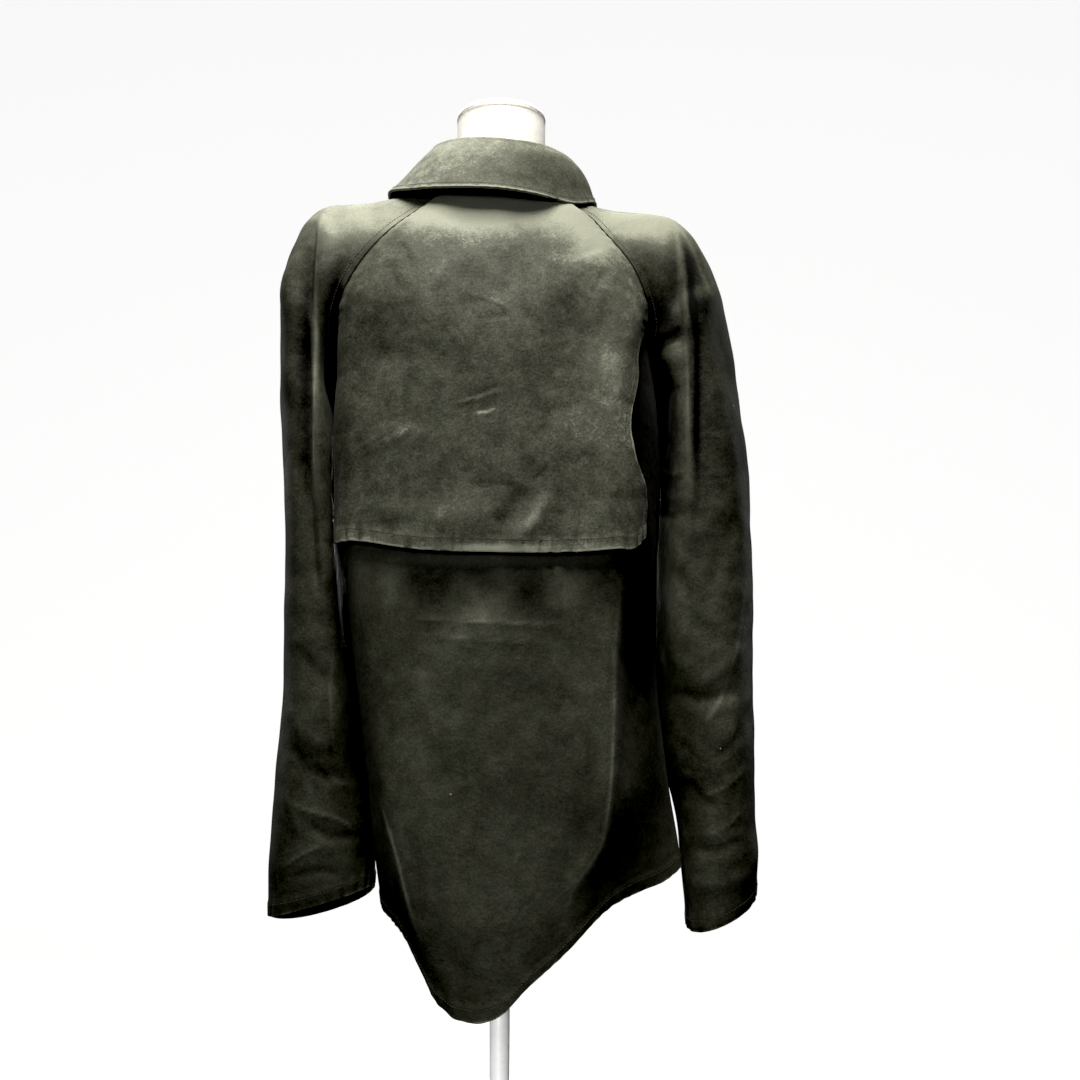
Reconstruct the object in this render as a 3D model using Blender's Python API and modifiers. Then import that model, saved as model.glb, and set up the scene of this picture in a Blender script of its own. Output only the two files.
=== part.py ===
"""A short waxed-cotton raglan coat with a back cape, hanging empty on a limbless dress form.

Metres, +Z up. The origin is on the floor under the form. The coat's back faces +Y and its left
sleeve is at +X. Every cloth piece is an open surface worked out from section tables, then walled.
"""

import math
from collections import namedtuple

import bmesh
import bpy
import numpy as np

# Cloth and seams
WALL = 0.0016
SEAM_INSET = 0.00045
LAYER = WALL + 0.00045
UNDERARM_LAYER = 0.0027
UNDERARM_Z = 1.10
SEAM_TOP_Z = 1.318

# Neck and collar, read round the neck from the back by the left: the neck seam, the fold line
# where the collar turns down, and the free edge of the fall
NECK_CENTRE = (0.002, -0.006)
NECK_CLEARANCE = 0.0021
NECK_BLEND = 0.05
Around = namedtuple("Around", "degrees neck_radius neck_z fold_radius fold_z fall_radius fall_z")
COLLAR_TABLE = (
    Around(0, 0.0700, 1.316, 0.0760, 1.3600, 0.1160, 1.290),
    Around(45, 0.0740, 1.319, 0.0765, 1.3680, 0.1190, 1.303),
    Around(90, 0.0780, 1.326, 0.0725, 1.3750, 0.1215, 1.325),
    Around(135, 0.0760, 1.305, 0.0780, 1.3520, 0.1240, 1.302),
    Around(180, 0.0740, 1.268, 0.0800, 1.3220, 0.1220, 1.242),
    Around(225, 0.0760, 1.300, 0.0800, 1.3450, 0.1120, 1.298),
    Around(270, 0.0770, 1.318, 0.0815, 1.3545, 0.1020, 1.317),
    Around(315, 0.0730, 1.316, 0.0780, 1.3580, 0.1030, 1.292),
)
COLLAR_OPENING = math.radians(9)
FALL_SLANT = math.radians(13)
STAND_GAP = 0.0011

# The back, read across from the left seam to the right seam at falling heights
Back = namedtuple(
    "Back",
    "z left_x left_y left_ridge_x left_ridge_y middle_x middle_y"
    " right_ridge_x right_ridge_y right_x right_y left_bulge right_bulge",
)
BACK_SECTIONS = (
    Back(1.330, 0.048, 0.050, 0.030, 0.060, 0.002, 0.064, -0.026, 0.058, -0.044, 0.044, 0.001, 0.001),
    Back(1.300, 0.067, 0.062, 0.046, 0.072, 0.001, 0.077, -0.042, 0.068, -0.061, 0.052, 0.001, 0.001),
    Back(1.282, 0.083, 0.072, 0.055, 0.082, 0.001, 0.087, -0.056, 0.076, -0.086, 0.059, 0.001, 0.001),
    Back(1.260, 0.108, 0.080, 0.072, 0.092, 0.001, 0.098, -0.068, 0.084, -0.105, 0.064, 0.001, 0.001),
    Back(1.222, 0.140, 0.085, 0.098, 0.104, 0.000, 0.113, -0.094, 0.095, -0.134, 0.065, 0.002, 0.002),
    Back(1.184, 0.160, 0.078, 0.124, 0.110, 0.000, 0.124, -0.114, 0.101, -0.149, 0.052, 0.003, 0.003),
    Back(1.142, 0.168, 0.050, 0.144, 0.107, 0.000, 0.132, -0.126, 0.103, -0.154, 0.022, 0.004, 0.005),
    Back(1.100, 0.163, 0.006, 0.152, 0.103, -0.001, 0.138, -0.129, 0.106, -0.162, -0.022, 0.006, 0.011),
    Back(1.000, 0.162, 0.004, 0.152, 0.105, -0.002, 0.144, -0.132, 0.113, -0.165, -0.012, 0.006, 0.013),
    Back(0.920, 0.156, 0.002, 0.148, 0.109, 0.000, 0.147, -0.127, 0.125, -0.161, -0.004, 0.006, 0.014),
    Back(0.800, 0.139, 0.000, 0.122, 0.114, 0.004, 0.150, -0.111, 0.137, -0.159, 0.008, 0.014, 0.017),
    Back(0.700, 0.126, 0.000, 0.108, 0.117, 0.008, 0.152, -0.109, 0.140, -0.168, 0.020, 0.015, 0.010),
    Back(0.620, 0.121, 0.000, 0.094, 0.117, 0.012, 0.151, -0.090, 0.140, -0.179, 0.028, 0.014, 0.003),
    Back(0.480, 0.112, 0.000, 0.055, 0.116, 0.014, 0.150, -0.047, 0.142, -0.184, 0.034, 0.006, 0.000),
)
BACK_CORNERS_AT = (0.0, 0.12, 0.21, 0.5, 0.79, 0.88, 1.0)
BACK_ROUNDING = 0.075
FLANK_SHARE = 0.57

EDGE_COLUMNS = (0, 1, 8, 9)

# The front, read across from the left seam to the right seam
Front = namedtuple(
    "Front",
    "z left_x left_y left_fold_x left_fold_y middle_x middle_y"
    " right_fold_x right_fold_y right_x right_y",
)
FRONT_SECTIONS = (
    Front(1.340, 0.058, -0.030, 0.034, -0.050, 0.000, -0.062, -0.034, -0.058, -0.060, -0.038),
    Front(1.300, 0.083, -0.053, 0.050, -0.074, -0.002, -0.086, -0.056, -0.084, -0.085, -0.064),
    Front(1.265, 0.105, -0.073, 0.070, -0.094, -0.004, -0.106, -0.076, -0.103, -0.103, -0.084),
    Front(1.220, 0.135, -0.086, 0.092, -0.108, -0.008, -0.119, -0.100, -0.116, -0.128, -0.098),
    Front(1.180, 0.154, -0.078, 0.108, -0.112, -0.011, -0.126, -0.115, -0.120, -0.143, -0.094),
    Front(1.140, 0.165, -0.044, 0.116, -0.111, -0.013, -0.129, -0.124, -0.121, -0.153, -0.070),
    Front(1.100, 0.163, 0.006, 0.119, -0.109, -0.014, -0.130, -0.129, -0.120, -0.162, -0.022),
    Front(1.000, 0.162, 0.004, 0.120, -0.105, -0.015, -0.130, -0.132, -0.116, -0.165, -0.012),
    Front(0.920, 0.156, 0.002, 0.115, -0.103, -0.018, -0.128, -0.133, -0.110, -0.161, -0.004),
    Front(0.800, 0.139, 0.000, 0.106, -0.100, -0.022, -0.125, -0.136, -0.104, -0.159, 0.008),
    Front(0.700, 0.126, 0.000, 0.098, -0.097, -0.026, -0.122, -0.141, -0.096, -0.168, 0.020),
    Front(0.620, 0.121, 0.000, 0.090, -0.094, -0.030, -0.120, -0.146, -0.090, -0.179, 0.028),
    Front(0.560, 0.117, 0.000, 0.086, -0.092, -0.032, -0.118, -0.148, -0.088, -0.180, 0.031),
)
FRONT_FOLDS_AT = (0.0, 0.27, 0.5, 0.74, 1.0)
FRONT_ROUNDING = 0.13
FRONT_NECK_Z = 1.266
FRONT_OVERLAP = 0.055
FRONT_LIFT = LAYER + 0.0007

# The hem's height across the back and across the front, both from left to right
Edge = namedtuple("Edge", "across z")
BACK_HEM = (
    Edge(0.000, 0.585),
    Edge(0.080, 0.579),
    Edge(0.150, 0.570),
    Edge(0.185, 0.556),
    Edge(0.212, 0.530),
    Edge(0.235, 0.510),
    Edge(0.290, 0.497),
    Edge(0.440, 0.487),
    Edge(0.520, 0.488),
    Edge(0.600, 0.497),
    Edge(0.660, 0.515),
    Edge(0.770, 0.550),
    Edge(0.830, 0.583),
    Edge(0.900, 0.599),
    Edge(0.950, 0.606),
    Edge(1.000, 0.619),
)
FRONT_HEM = (
    Edge(0.00, 0.585),
    Edge(0.25, 0.583),
    Edge(0.50, 0.590),
    Edge(0.75, 0.604),
    Edge(1.00, 0.619),
)

# The cape: how far in from each seam its free edges hang, and how far it stands off the back
Cape = namedtuple("Cape", "z left right stand_off")
CAPE_ROWS = (
    Cape(1.320, 0.000, 1.000, 0.0000),
    Cape(1.210, 0.000, 1.000, 0.0000),
    Cape(1.180, 0.000, 1.000, 0.0004),
    Cape(1.155, 0.054, 0.915, 0.0008),
    Cape(1.130, 0.092, 0.838, 0.0012),
    Cape(1.100, 0.112, 0.817, 0.0018),
    Cape(1.045, 0.128, 0.781, 0.0030),
    Cape(1.010, 0.132, 0.790, 0.0036),
    Cape(0.980, 0.134, 0.816, 0.0042),
    Cape(0.945, 0.136, 0.820, 0.0050),
    Cape(0.900, 0.136, 0.818, 0.0058),
)
CAPE_EASE = 0.0012
CAPE_HEM = (
    Edge(0.000, 0.944),
    Edge(0.030, 0.937),
    Edge(0.150, 0.930),
    Edge(0.320, 0.919),
    Edge(0.500, 0.914),
    Edge(0.700, 0.914),
    Edge(0.900, 0.919),
    Edge(0.960, 0.923),
    Edge(1.000, 0.938),
)

# Sleeve rings below the underarm: the inner seam, the overarm line and the reach to back and front
Ring = namedtuple("Ring", "inner_x inner_y inner_z over_x over_y over_z back front back_drop front_drop")
LEFT_RINGS = (
    Ring(0.1265, 0.004, 0.602, 0.2295, 0.004, 0.571, 0.052, -0.046, 0.004, 0.016),
    Ring(0.1270, -0.005, 0.628, 0.2315, 0.002, 0.620, 0.058, -0.052, 0.000, 0.003),
    Ring(0.1275, -0.012, 0.665, 0.2285, 0.000, 0.665, 0.062, -0.058, 0.000, 0.000),
    Ring(0.1330, -0.025, 0.730, 0.2240, -0.004, 0.730, 0.066, -0.066, 0.000, 0.000),
    Ring(0.1440, -0.032, 0.810, 0.2215, -0.008, 0.810, 0.068, -0.076, 0.000, 0.000),
    Ring(0.1550, -0.030, 0.890, 0.2215, -0.010, 0.890, 0.070, -0.084, 0.000, 0.000),
    Ring(0.1630, -0.020, 0.950, 0.2230, -0.010, 0.950, 0.071, -0.088, 0.000, 0.000),
    Ring(0.1665, -0.008, 1.020, 0.2260, -0.010, 1.020, 0.073, -0.092, 0.000, 0.000),
)
RIGHT_RINGS = (
    Ring(-0.1880, -0.006, 0.560, -0.2570, -0.010, 0.594, 0.036, -0.058, 0.013, 0.004),
    Ring(-0.1850, -0.008, 0.610, -0.2600, -0.010, 0.625, 0.042, -0.062, 0.000, 0.000),
    Ring(-0.1805, -0.012, 0.660, -0.2580, -0.012, 0.660, 0.046, -0.068, 0.000, 0.000),
    Ring(-0.1670, -0.030, 0.725, -0.2585, -0.016, 0.725, 0.049, -0.076, 0.000, 0.000),
    Ring(-0.1600, -0.045, 0.805, -0.2585, -0.022, 0.805, 0.050, -0.086, 0.000, 0.000),
    Ring(-0.1610, -0.050, 0.890, -0.2610, -0.026, 0.890, 0.050, -0.096, 0.000, 0.000),
    Ring(-0.1640, -0.045, 0.960, -0.2615, -0.028, 0.960, 0.050, -0.102, 0.000, 0.000),
    Ring(-0.1670, -0.035, 1.030, -0.2595, -0.030, 1.030, 0.050, -0.106, 0.000, 0.000),
)

# Sleeve arcs from the underarm to the neck: height on both raglan seams, the overarm point, how
# much of the sleeve's start turns back instead of running on from the body, and handle lengths
Arc = namedtuple("Arc", "seam_z over_x over_y over_z turn seam_pull back_pull front_pull")
LEFT_ARCS = (
    Arc(1.100, 0.2315, -0.011, 1.100, 1.00, 0.096, 0.104, 0.120),
    Arc(1.125, 0.2325, -0.011, 1.140, 0.90, 0.070, 0.090, 0.110),
    Arc(1.160, 0.2325, -0.011, 1.185, 0.62, 0.050, 0.086, 0.094),
    Arc(1.195, 0.2305, -0.010, 1.226, 0.38, 0.046, 0.082, 0.080),
    Arc(1.230, 0.2225, -0.008, 1.262, 0.20, 0.046, 0.074, 0.070),
    Arc(1.256, 0.2085, -0.005, 1.290, 0.10, 0.046, 0.064, 0.062),
    Arc(1.276, 0.1900, -0.003, 1.3055, 0.04, 0.042, 0.054, 0.054),
    Arc(1.293, 0.1560, -0.002, 1.3065, 0.00, 0.034, 0.044, 0.044),
    Arc(1.306, 0.1180, -0.001, 1.3115, 0.00, 0.026, 0.032, 0.034),
    Arc(1.318, 0.0800, -0.004, 1.326, 0.00, 0.018, 0.022, 0.024),
)
RIGHT_ARCS = (
    Arc(1.100, -0.2520, -0.032, 1.100, 1.00, 0.098, 0.106, 0.108),
    Arc(1.125, -0.2480, -0.032, 1.145, 0.88, 0.068, 0.092, 0.108),
    Arc(1.158, -0.2400, -0.032, 1.190, 0.60, 0.050, 0.086, 0.092),
    Arc(1.190, -0.2320, -0.031, 1.224, 0.36, 0.046, 0.080, 0.078),
    Arc(1.222, -0.2180, -0.029, 1.262, 0.20, 0.046, 0.072, 0.068),
    Arc(1.248, -0.2010, -0.027, 1.287, 0.10, 0.044, 0.062, 0.060),
    Arc(1.268, -0.1840, -0.024, 1.299, 0.04, 0.040, 0.052, 0.052),
    Arc(1.288, -0.1520, -0.020, 1.2995, 0.00, 0.033, 0.042, 0.042),
    Arc(1.303, -0.1140, -0.014, 1.3055, 0.00, 0.026, 0.030, 0.032),
    Arc(1.318, -0.0760, -0.010, 1.319, 0.00, 0.018, 0.020, 0.022),
)

# Folds: a trough (depth > 0) or a ridge (depth < 0) between two places on a piece, as shares
# across and along it, with its half width across
Fold = namedtuple("Fold", "across_1 along_1 across_2 along_2 half_width depth")
LEFT_SLEEVE_FOLDS = (
    Fold(0.205, 0.12, 0.170, 0.78, 0.060, 0.012),
    Fold(0.330, 0.66, 0.300, 0.88, 0.060, 0.005),
    Fold(0.130, 0.62, 0.110, 0.84, 0.060, -0.004),
    Fold(0.780, 0.10, 0.820, 0.74, 0.060, 0.010),
)
RIGHT_SLEEVE_FOLDS = (
    Fold(0.160, 0.22, 0.175, 0.80, 0.055, 0.010),
    Fold(0.320, 0.56, 0.240, 0.84, 0.060, 0.006),
    Fold(0.780, 0.10, 0.820, 0.74, 0.060, 0.010),
)
BACK_FOLDS = (
    Fold(0.300, 0.62, 0.330, 1.05, 0.060, 0.003),
    Fold(0.690, 0.55, 0.660, 1.05, 0.060, 0.003),
)

# Buttons on the overlapping front
BUTTON_COUNT = 5
BUTTON_RADIUS = 0.011
BUTTON_THICKNESS = 0.0030
BUTTON_TOP_Z = 1.225
BUTTON_PITCH = 0.125
BUTTON_STAND = 0.00045

# Dress form
FORM_TURN = math.radians(7)
FORM_SHOULDER = 0.168
FORM_DROP = 0.0031
FORM_LEVEL = 0.052
FORM_SPREAD = 1.6
FormRing = namedtuple("FormRing", "z half_width back front")
FORM_RINGS = (
    FormRing(0.800, 0.100, 0.080, 0.075),
    FormRing(0.812, 0.112, 0.092, 0.086),
    FormRing(0.860, 0.122, 0.098, 0.090),
    FormRing(0.960, 0.106, 0.088, 0.080),
    FormRing(1.060, 0.124, 0.094, 0.100),
    FormRing(1.130, 0.132, 0.096, 0.106),
    FormRing(1.190, 0.142, 0.088, 0.094),
    FormRing(1.235, 0.160, 0.070, 0.074),
    FormRing(1.270, 0.168, 0.050, 0.052),
    FormRing(1.291, 0.162, 0.038, 0.038),
    FormRing(1.3015, 0.146, 0.034, 0.034),
    FormRing(1.3070, 0.110, 0.034, 0.034),
    FormRing(1.3090, 0.052, 0.040, 0.040),
)
FORM_SIDES = 32
FORM_NECK_RADIUS = 0.0480
FORM_NECK_CENTRE = (0.0022, -0.010)
FORM_NECK_Z = (1.3094, 1.418)
FORM_CAP_RISE = 0.010
POLE_RADIUS = 0.0100
POLE_Z = (0.0243, 0.7994)
BASE_RADIUS = 0.165
BASE_HEIGHT = 0.024

# Mesh steps across and along each piece
Steps = namedtuple("Steps", "across along")
TURN_LENGTH = 0.09
SPREAD_Z = 0.98
UPPER_ROWS = 12
BACK_STEPS = Steps(24, 17)
FRONT_STEPS = Steps(9, 17)
CAPE_STEPS = Steps(24, 7)
SLEEVE_STEPS = Steps(24, 18)
COLLAR_STEPS = 30

OLIVE = (0.050, 0.050, 0.036)
OLIVE_COLLAR = (0.070, 0.068, 0.050)
HORN = (0.045, 0.030, 0.020)
LINEN = (0.72, 0.69, 0.64)
PAINT = (0.80, 0.80, 0.79)


def clear_scene():
    """Remove every object and collection content left in the file."""
    for old in list(bpy.data.objects):
        bpy.data.objects.remove(old, do_unlink=True)


def material(name, colour, roughness, metallic=0.0):
    """A Principled material of one colour."""
    made = bpy.data.materials.new(name)
    made.use_nodes = True
    shader = made.node_tree.nodes["Principled BSDF"]
    shader.inputs["Base Color"].default_value = (*colour, 1.0)
    shader.inputs["Roughness"].default_value = roughness
    shader.inputs["Metallic"].default_value = metallic
    made.diffuse_color = (*colour, 1.0)
    return made


def smooth(knots, values, where):
    """A cubic through the values at rising knots, read at each place in where."""
    knots = np.asarray(knots, float)
    values = np.asarray(values, float)
    where = np.clip(np.asarray(where, float), knots[0], knots[-1])
    steps = np.diff(knots)
    tail = (1,) * (values.ndim - 1)
    chords = np.diff(values, axis=0) / steps.reshape(-1, *tail)
    before = steps[:-1].reshape(-1, *tail)
    after = steps[1:].reshape(-1, *tail)
    inner = (chords[:-1] * after + chords[1:] * before) / (before + after)
    slopes = np.concatenate([chords[:1], inner, chords[-1:]])
    index = np.clip(np.searchsorted(knots, where, side="right") - 1, 0, len(steps) - 1)
    width = steps[index]
    t = ((where - knots[index]) / width).reshape(where.shape + tail)
    width = width.reshape(where.shape + tail)
    start = values[index] * (1 + 2 * t) * (1 - t) ** 2
    start = start + slopes[index] * width * t * (1 - t) ** 2
    end = values[index + 1] * t**2 * (3 - 2 * t)
    return start + end + slopes[index + 1] * width * t**2 * (t - 1)


def rounded(knots, corners, where, reach):
    """Straight runs between each row's corners, with every corner rounded over the reach."""
    knots = np.asarray(knots, float)
    room = np.minimum(reach, np.minimum(where - knots[0], knots[-1] - where))
    total = 0.0
    weights = 0.0
    rows = np.arange(len(where))
    for offset in np.linspace(-1, 1, 13):
        place = where + room * offset
        index = np.clip(np.searchsorted(knots, place, side="right") - 1, 0, len(knots) - 2)
        share = ((place - knots[index]) / (knots[index + 1] - knots[index]))[:, None]
        weight = 1.05 - abs(offset)
        total = total + weight * (corners[rows, index] * (1 - share) + corners[rows, index + 1] * share)
        weights += weight
    return total / weights


def eased(share):
    """A soft step from 0 to 1."""
    share = np.clip(share, 0.0, 1.0)
    return share * share * (3 - 2 * share)


def around(column, angle):
    """A column of the collar table at angles round the neck, 0 at the back and rising to the left."""
    table = np.array(COLLAR_TABLE)
    knots = np.concatenate([table[:, 0] - 360, table[:, 0], table[:, 0] + 360])
    values = np.tile(table[:, Around._fields.index(column)], 3)
    return smooth(knots, values, np.degrees(angle))


def ring_points(name, angle, spread=0.0):
    """Points at angles on one of the collar table's rings: neck, fold or fall."""
    reach = around(f"{name}_radius", angle) + spread
    x = NECK_CENTRE[0] + reach * np.sin(angle)
    y = NECK_CENTRE[1] + reach * np.cos(angle)
    return np.stack([x, y, around(f"{name}_z", angle)], axis=-1)


def heights(upper_rows, lower_rows, top, bottom):
    """Row heights for each column: from its top to the underarm's level, then on to its bottom."""
    upper = np.linspace(0, 1, upper_rows + 1)[:, None]
    lower = np.linspace(0, 1, lower_rows + 1)[1:, None]
    first = top + (UNDERARM_Z - top) * upper
    return np.concatenate([first, UNDERARM_Z + (bottom - UNDERARM_Z) * lower])


def section_points(sections, z):
    """Each height's five corner points and any more columns, from sections that fall in height.

    The two edges turn at the underarm, where the raglan seams end and the side seams start.
    """
    table = np.array(sections)[::-1]
    read = smooth(table[:, 0], table[:, 1:], z)
    split = int(np.argmin(np.abs(table[:, 0] - UNDERARM_Z)))
    below = smooth(table[: split + 1, 0], table[: split + 1, 1:], z)
    above = smooth(table[split:, 0], table[split:, 1:], z)
    edges = np.where((z < UNDERARM_Z)[:, None], below, above)
    for column in EDGE_COLUMNS:
        read[:, column] = edges[:, column]
    return read[:, :10].reshape(len(z), 5, 2), read[:, 10:]


def back_surface(across, z):
    """Points of the back at shares across it and heights."""
    shape = np.broadcast(across, z).shape
    flat_across = np.broadcast_to(across, shape).reshape(-1)
    flat_z = np.broadcast_to(z, shape).reshape(-1)
    points, bulges = section_points(BACK_SECTIONS, flat_z)
    left_flank = points[:, 0] * (1 - FLANK_SHARE) + points[:, 1] * FLANK_SHARE
    right_flank = points[:, 4] * (1 - FLANK_SHARE) + points[:, 3] * FLANK_SHARE
    left_flank[:, 0] += bulges[:, 0]
    right_flank[:, 0] -= bulges[:, 1]
    ridges = points[:, 1:4].transpose(1, 0, 2)
    corners = np.stack([points[:, 0], left_flank, *ridges, right_flank, points[:, 4]], axis=1)
    flat = rounded(BACK_CORNERS_AT, corners, flat_across, BACK_ROUNDING)
    return np.concatenate([flat, flat_z[:, None]], axis=1).reshape(*shape, 3)


def front_surface(across, z):
    """Points of the front at shares across it and heights."""
    shape = np.broadcast(across, z).shape
    flat_across = np.broadcast_to(across, shape).reshape(-1)
    flat_z = np.broadcast_to(z, shape).reshape(-1)
    corners, _ = section_points(FRONT_SECTIONS, flat_z)
    flat = rounded(FRONT_FOLDS_AT, corners, flat_across, FRONT_ROUNDING)
    return np.concatenate([flat, flat_z[:, None]], axis=1).reshape(*shape, 3)


def turning_shares(surface, z, first, last, steps):
    """Shares from first to last, closer together where a level section of the surface turns."""
    fine = np.linspace(first, last, 241)
    run = np.diff(surface(fine, np.full_like(fine, z))[:, :2], axis=0)
    heading = np.unwrap(np.arctan2(run[:, 1], run[:, 0]))
    turn = np.abs(np.diff(heading, prepend=heading[0]))
    measure = np.concatenate([[0], np.cumsum(np.linalg.norm(run, axis=1) + TURN_LENGTH * turn)])
    return np.interp(np.linspace(0, measure[-1], steps + 1), measure, fine)


def normals_of(grid):
    """Unit normals of a grid of points, from its neighbours across and along."""
    across = np.gradient(grid, axis=1)
    along = np.gradient(grid, axis=0)
    normal = np.cross(across, along)
    return normal / np.maximum(np.linalg.norm(normal, axis=2, keepdims=True), 1e-12)


def neck_angle(points):
    """Angle round the neck of each point, 0 at the back and rising to the left."""
    return np.arctan2(points[..., 0] - NECK_CENTRE[0], points[..., 1] - NECK_CENTRE[1])


def meet_neck(grid):
    """The grid with its top row moved onto the neck seam and the rows below eased after it."""
    top = grid[0]
    seam = ring_points("neck", neck_angle(top), NECK_CLEARANCE)
    away = np.linalg.norm(grid - top[None], axis=2, keepdims=True)
    return grid + (seam - top)[None] * (1 - eased(away / NECK_BLEND))


def folded(grid, folds, across=None):
    """The grid with each fold pressed into it along its normals."""
    across = np.linspace(0, 1, grid.shape[1]) if across is None else across
    across = across[None, :]
    along = np.linspace(0, 1, grid.shape[0])[:, None]
    shift = np.zeros(grid.shape[:2])
    for fold in folds:
        share = (along - fold.along_1) / (fold.along_2 - fold.along_1)
        centre = fold.across_1 + share * (fold.across_2 - fold.across_1)
        window = eased(share / 0.25) * eased((1 - share) / 0.25)
        shift += fold.depth * window * np.exp(-(((across - centre) / fold.half_width) ** 2))
    return grid - normals_of(grid) * shift[..., None]


def inset(grid, left=0.0, right=0.0, top=0.0, bottom=0.0):
    """The grid with its edges drawn in along the surface, to leave room at the seams."""
    out = grid.copy()
    for edge, inner, amount in (
        ((slice(None), 0), (slice(None), 1), left),
        ((slice(None), -1), (slice(None), -2), right),
        ((0, slice(None)), (1, slice(None)), top),
        ((-1, slice(None)), (-2, slice(None)), bottom),
    ):
        run = grid[inner] - grid[edge]
        length = np.maximum(np.linalg.norm(run, axis=1, keepdims=True), 1e-9)
        out[edge] += run / length * amount
    return out


def back_grid(steps):
    """The back panel from the neck seam to the dipped hem."""
    across = turning_shares(back_surface, SPREAD_Z, 0.0, 1.0, steps.across)
    hem = smooth([edge.across for edge in BACK_HEM], [edge.z for edge in BACK_HEM], across)
    z = heights(UPPER_ROWS, steps.along, np.full_like(across, SEAM_TOP_Z), hem)
    grid = back_surface(across[None, :], z)
    return meet_neck(folded(grid, BACK_FOLDS, across))


def front_grid(steps, first, last, lift):
    """One front from the neck seam to the hem, between two shares across the whole front."""
    across = np.linspace(first, last, steps.across + 1)
    hem = smooth([edge.across for edge in FRONT_HEM], [edge.z for edge in FRONT_HEM], across)
    dip = eased(1 - np.abs(across - 0.5) / 0.5)
    top = SEAM_TOP_Z - (SEAM_TOP_Z - FRONT_NECK_Z) * dip
    z = heights(UPPER_ROWS, steps.along, top, hem)
    grid = meet_neck(front_surface(across[None, :], z))
    nearness = eased((0.12 - np.abs(across - 0.5)) / 0.06)
    return grid + normals_of(grid) * (lift * nearness)[None, :, None]


def cape_grid(steps):
    """The cape, from the back's own points moved out, free below the raglan seams."""
    share = turning_shares(back_surface, SPREAD_Z, 0.0, 1.0, steps.across)
    hem = smooth([edge.across for edge in CAPE_HEM], [edge.z for edge in CAPE_HEM], share)
    z = heights(UPPER_ROWS, steps.along, np.full_like(share, SEAM_TOP_Z), hem)
    rows = np.array(CAPE_ROWS)[::-1]
    left, right, stand_off = smooth(rows[:, 0], rows[:, 1:], z).transpose(2, 0, 1)
    left = np.clip(left, 0.0, 1.0)
    right = np.clip(right, 0.0, 1.0)
    stand_off = np.maximum(stand_off, 0.0)
    across = left + (right - left) * share[None, :]
    grid = meet_neck(back_surface(across, z))
    outward = -normals_of(grid)
    outward *= np.sign((outward * (grid - [0, 0, 1.0]) * [1, 1, 0]).sum(axis=2, keepdims=True))
    inside = eased(np.minimum(share, 1 - share) / 0.08)
    return grid + outward * (LAYER + stand_off + CAPE_EASE * inside[None, :])[..., None]


def body_normal(surface, edge, z):
    """The outward normal of the back or front surface at one of its side edges."""
    step = 0.02 if edge < 0.5 else -0.02
    here = surface(np.array([edge]), np.array([z]))[0]
    inner = surface(np.array([edge + step]), np.array([z]))[0]
    below = surface(np.array([edge]), np.array([z - 0.01]))[0]
    normal = np.cross(inner - here, below - here)
    normal /= np.linalg.norm(normal)
    axis = np.array([0.0, 0.0, z])
    return normal if np.dot(normal, here - axis) > 0 else -normal


def seam_start(surface, edge, arc, over, way):
    """Where the sleeve leaves a raglan seam, and the direction in which it leaves."""
    seam = surface(np.array([edge]), np.array([arc.seam_z]))[0]
    normal = body_normal(surface, edge, arc.seam_z)
    run = over - seam
    run = run - normal * np.dot(run, normal)
    run /= np.linalg.norm(run)
    lead = run * (1 - arc.turn) + np.array([0.0, way, 0.0]) * arc.turn
    lead /= np.linalg.norm(lead)
    lift = LAYER / 2 + (UNDERARM_LAYER - LAYER / 2) * eased(arc.turn)
    return seam + normal * lift + lead * SEAM_INSET * (1 - arc.turn), lead


def arc_controls(arc, edge):
    """The seven control points of a sleeve arc from the back raglan seam to the front one."""
    over = np.array([arc.over_x, arc.over_y, arc.over_z])
    back, back_lead = seam_start(back_surface, edge, arc, over, 1.0)
    front, front_lead = seam_start(front_surface, edge, arc, over, -1.0)
    front_seam = arc.seam_pull * arc.front_pull / arc.back_pull
    return [
        back,
        back + back_lead * arc.seam_pull,
        over + [0, arc.back_pull, 0],
        over,
        over - [0, arc.front_pull, 0],
        front + front_lead * front_seam,
        front,
    ]


def ring_controls(ring):
    """The seven control points of a closed sleeve ring, which starts and ends at its inner seam."""
    inner = np.array([ring.inner_x, ring.inner_y, ring.inner_z])
    over = np.array([ring.over_x, ring.over_y, ring.over_z])
    middle = (ring.inner_y + ring.over_y) / 2
    back = np.array([0, (ring.back - middle) / 0.75, -ring.back_drop / 0.75])
    front = np.array([0, (ring.front - middle) / 0.75, -ring.front_drop / 0.75])
    return [inner, inner + back, over + back, over, over + front, inner + front, inner]


def curve_through(controls, share):
    """Points of the two cubic curves that seven control points give, at shares across."""
    half = np.where(share < 0.5, 0, 3)
    t = np.where(share < 0.5, share * 2, share * 2 - 1)[None, :, None]
    picks = [controls[:, half + step] for step in range(4)]
    near = picks[0] * (1 - t) ** 3 + picks[1] * 3 * t * (1 - t) ** 2
    return near + picks[2] * 3 * t**2 * (1 - t) + picks[3] * t**3


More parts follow.
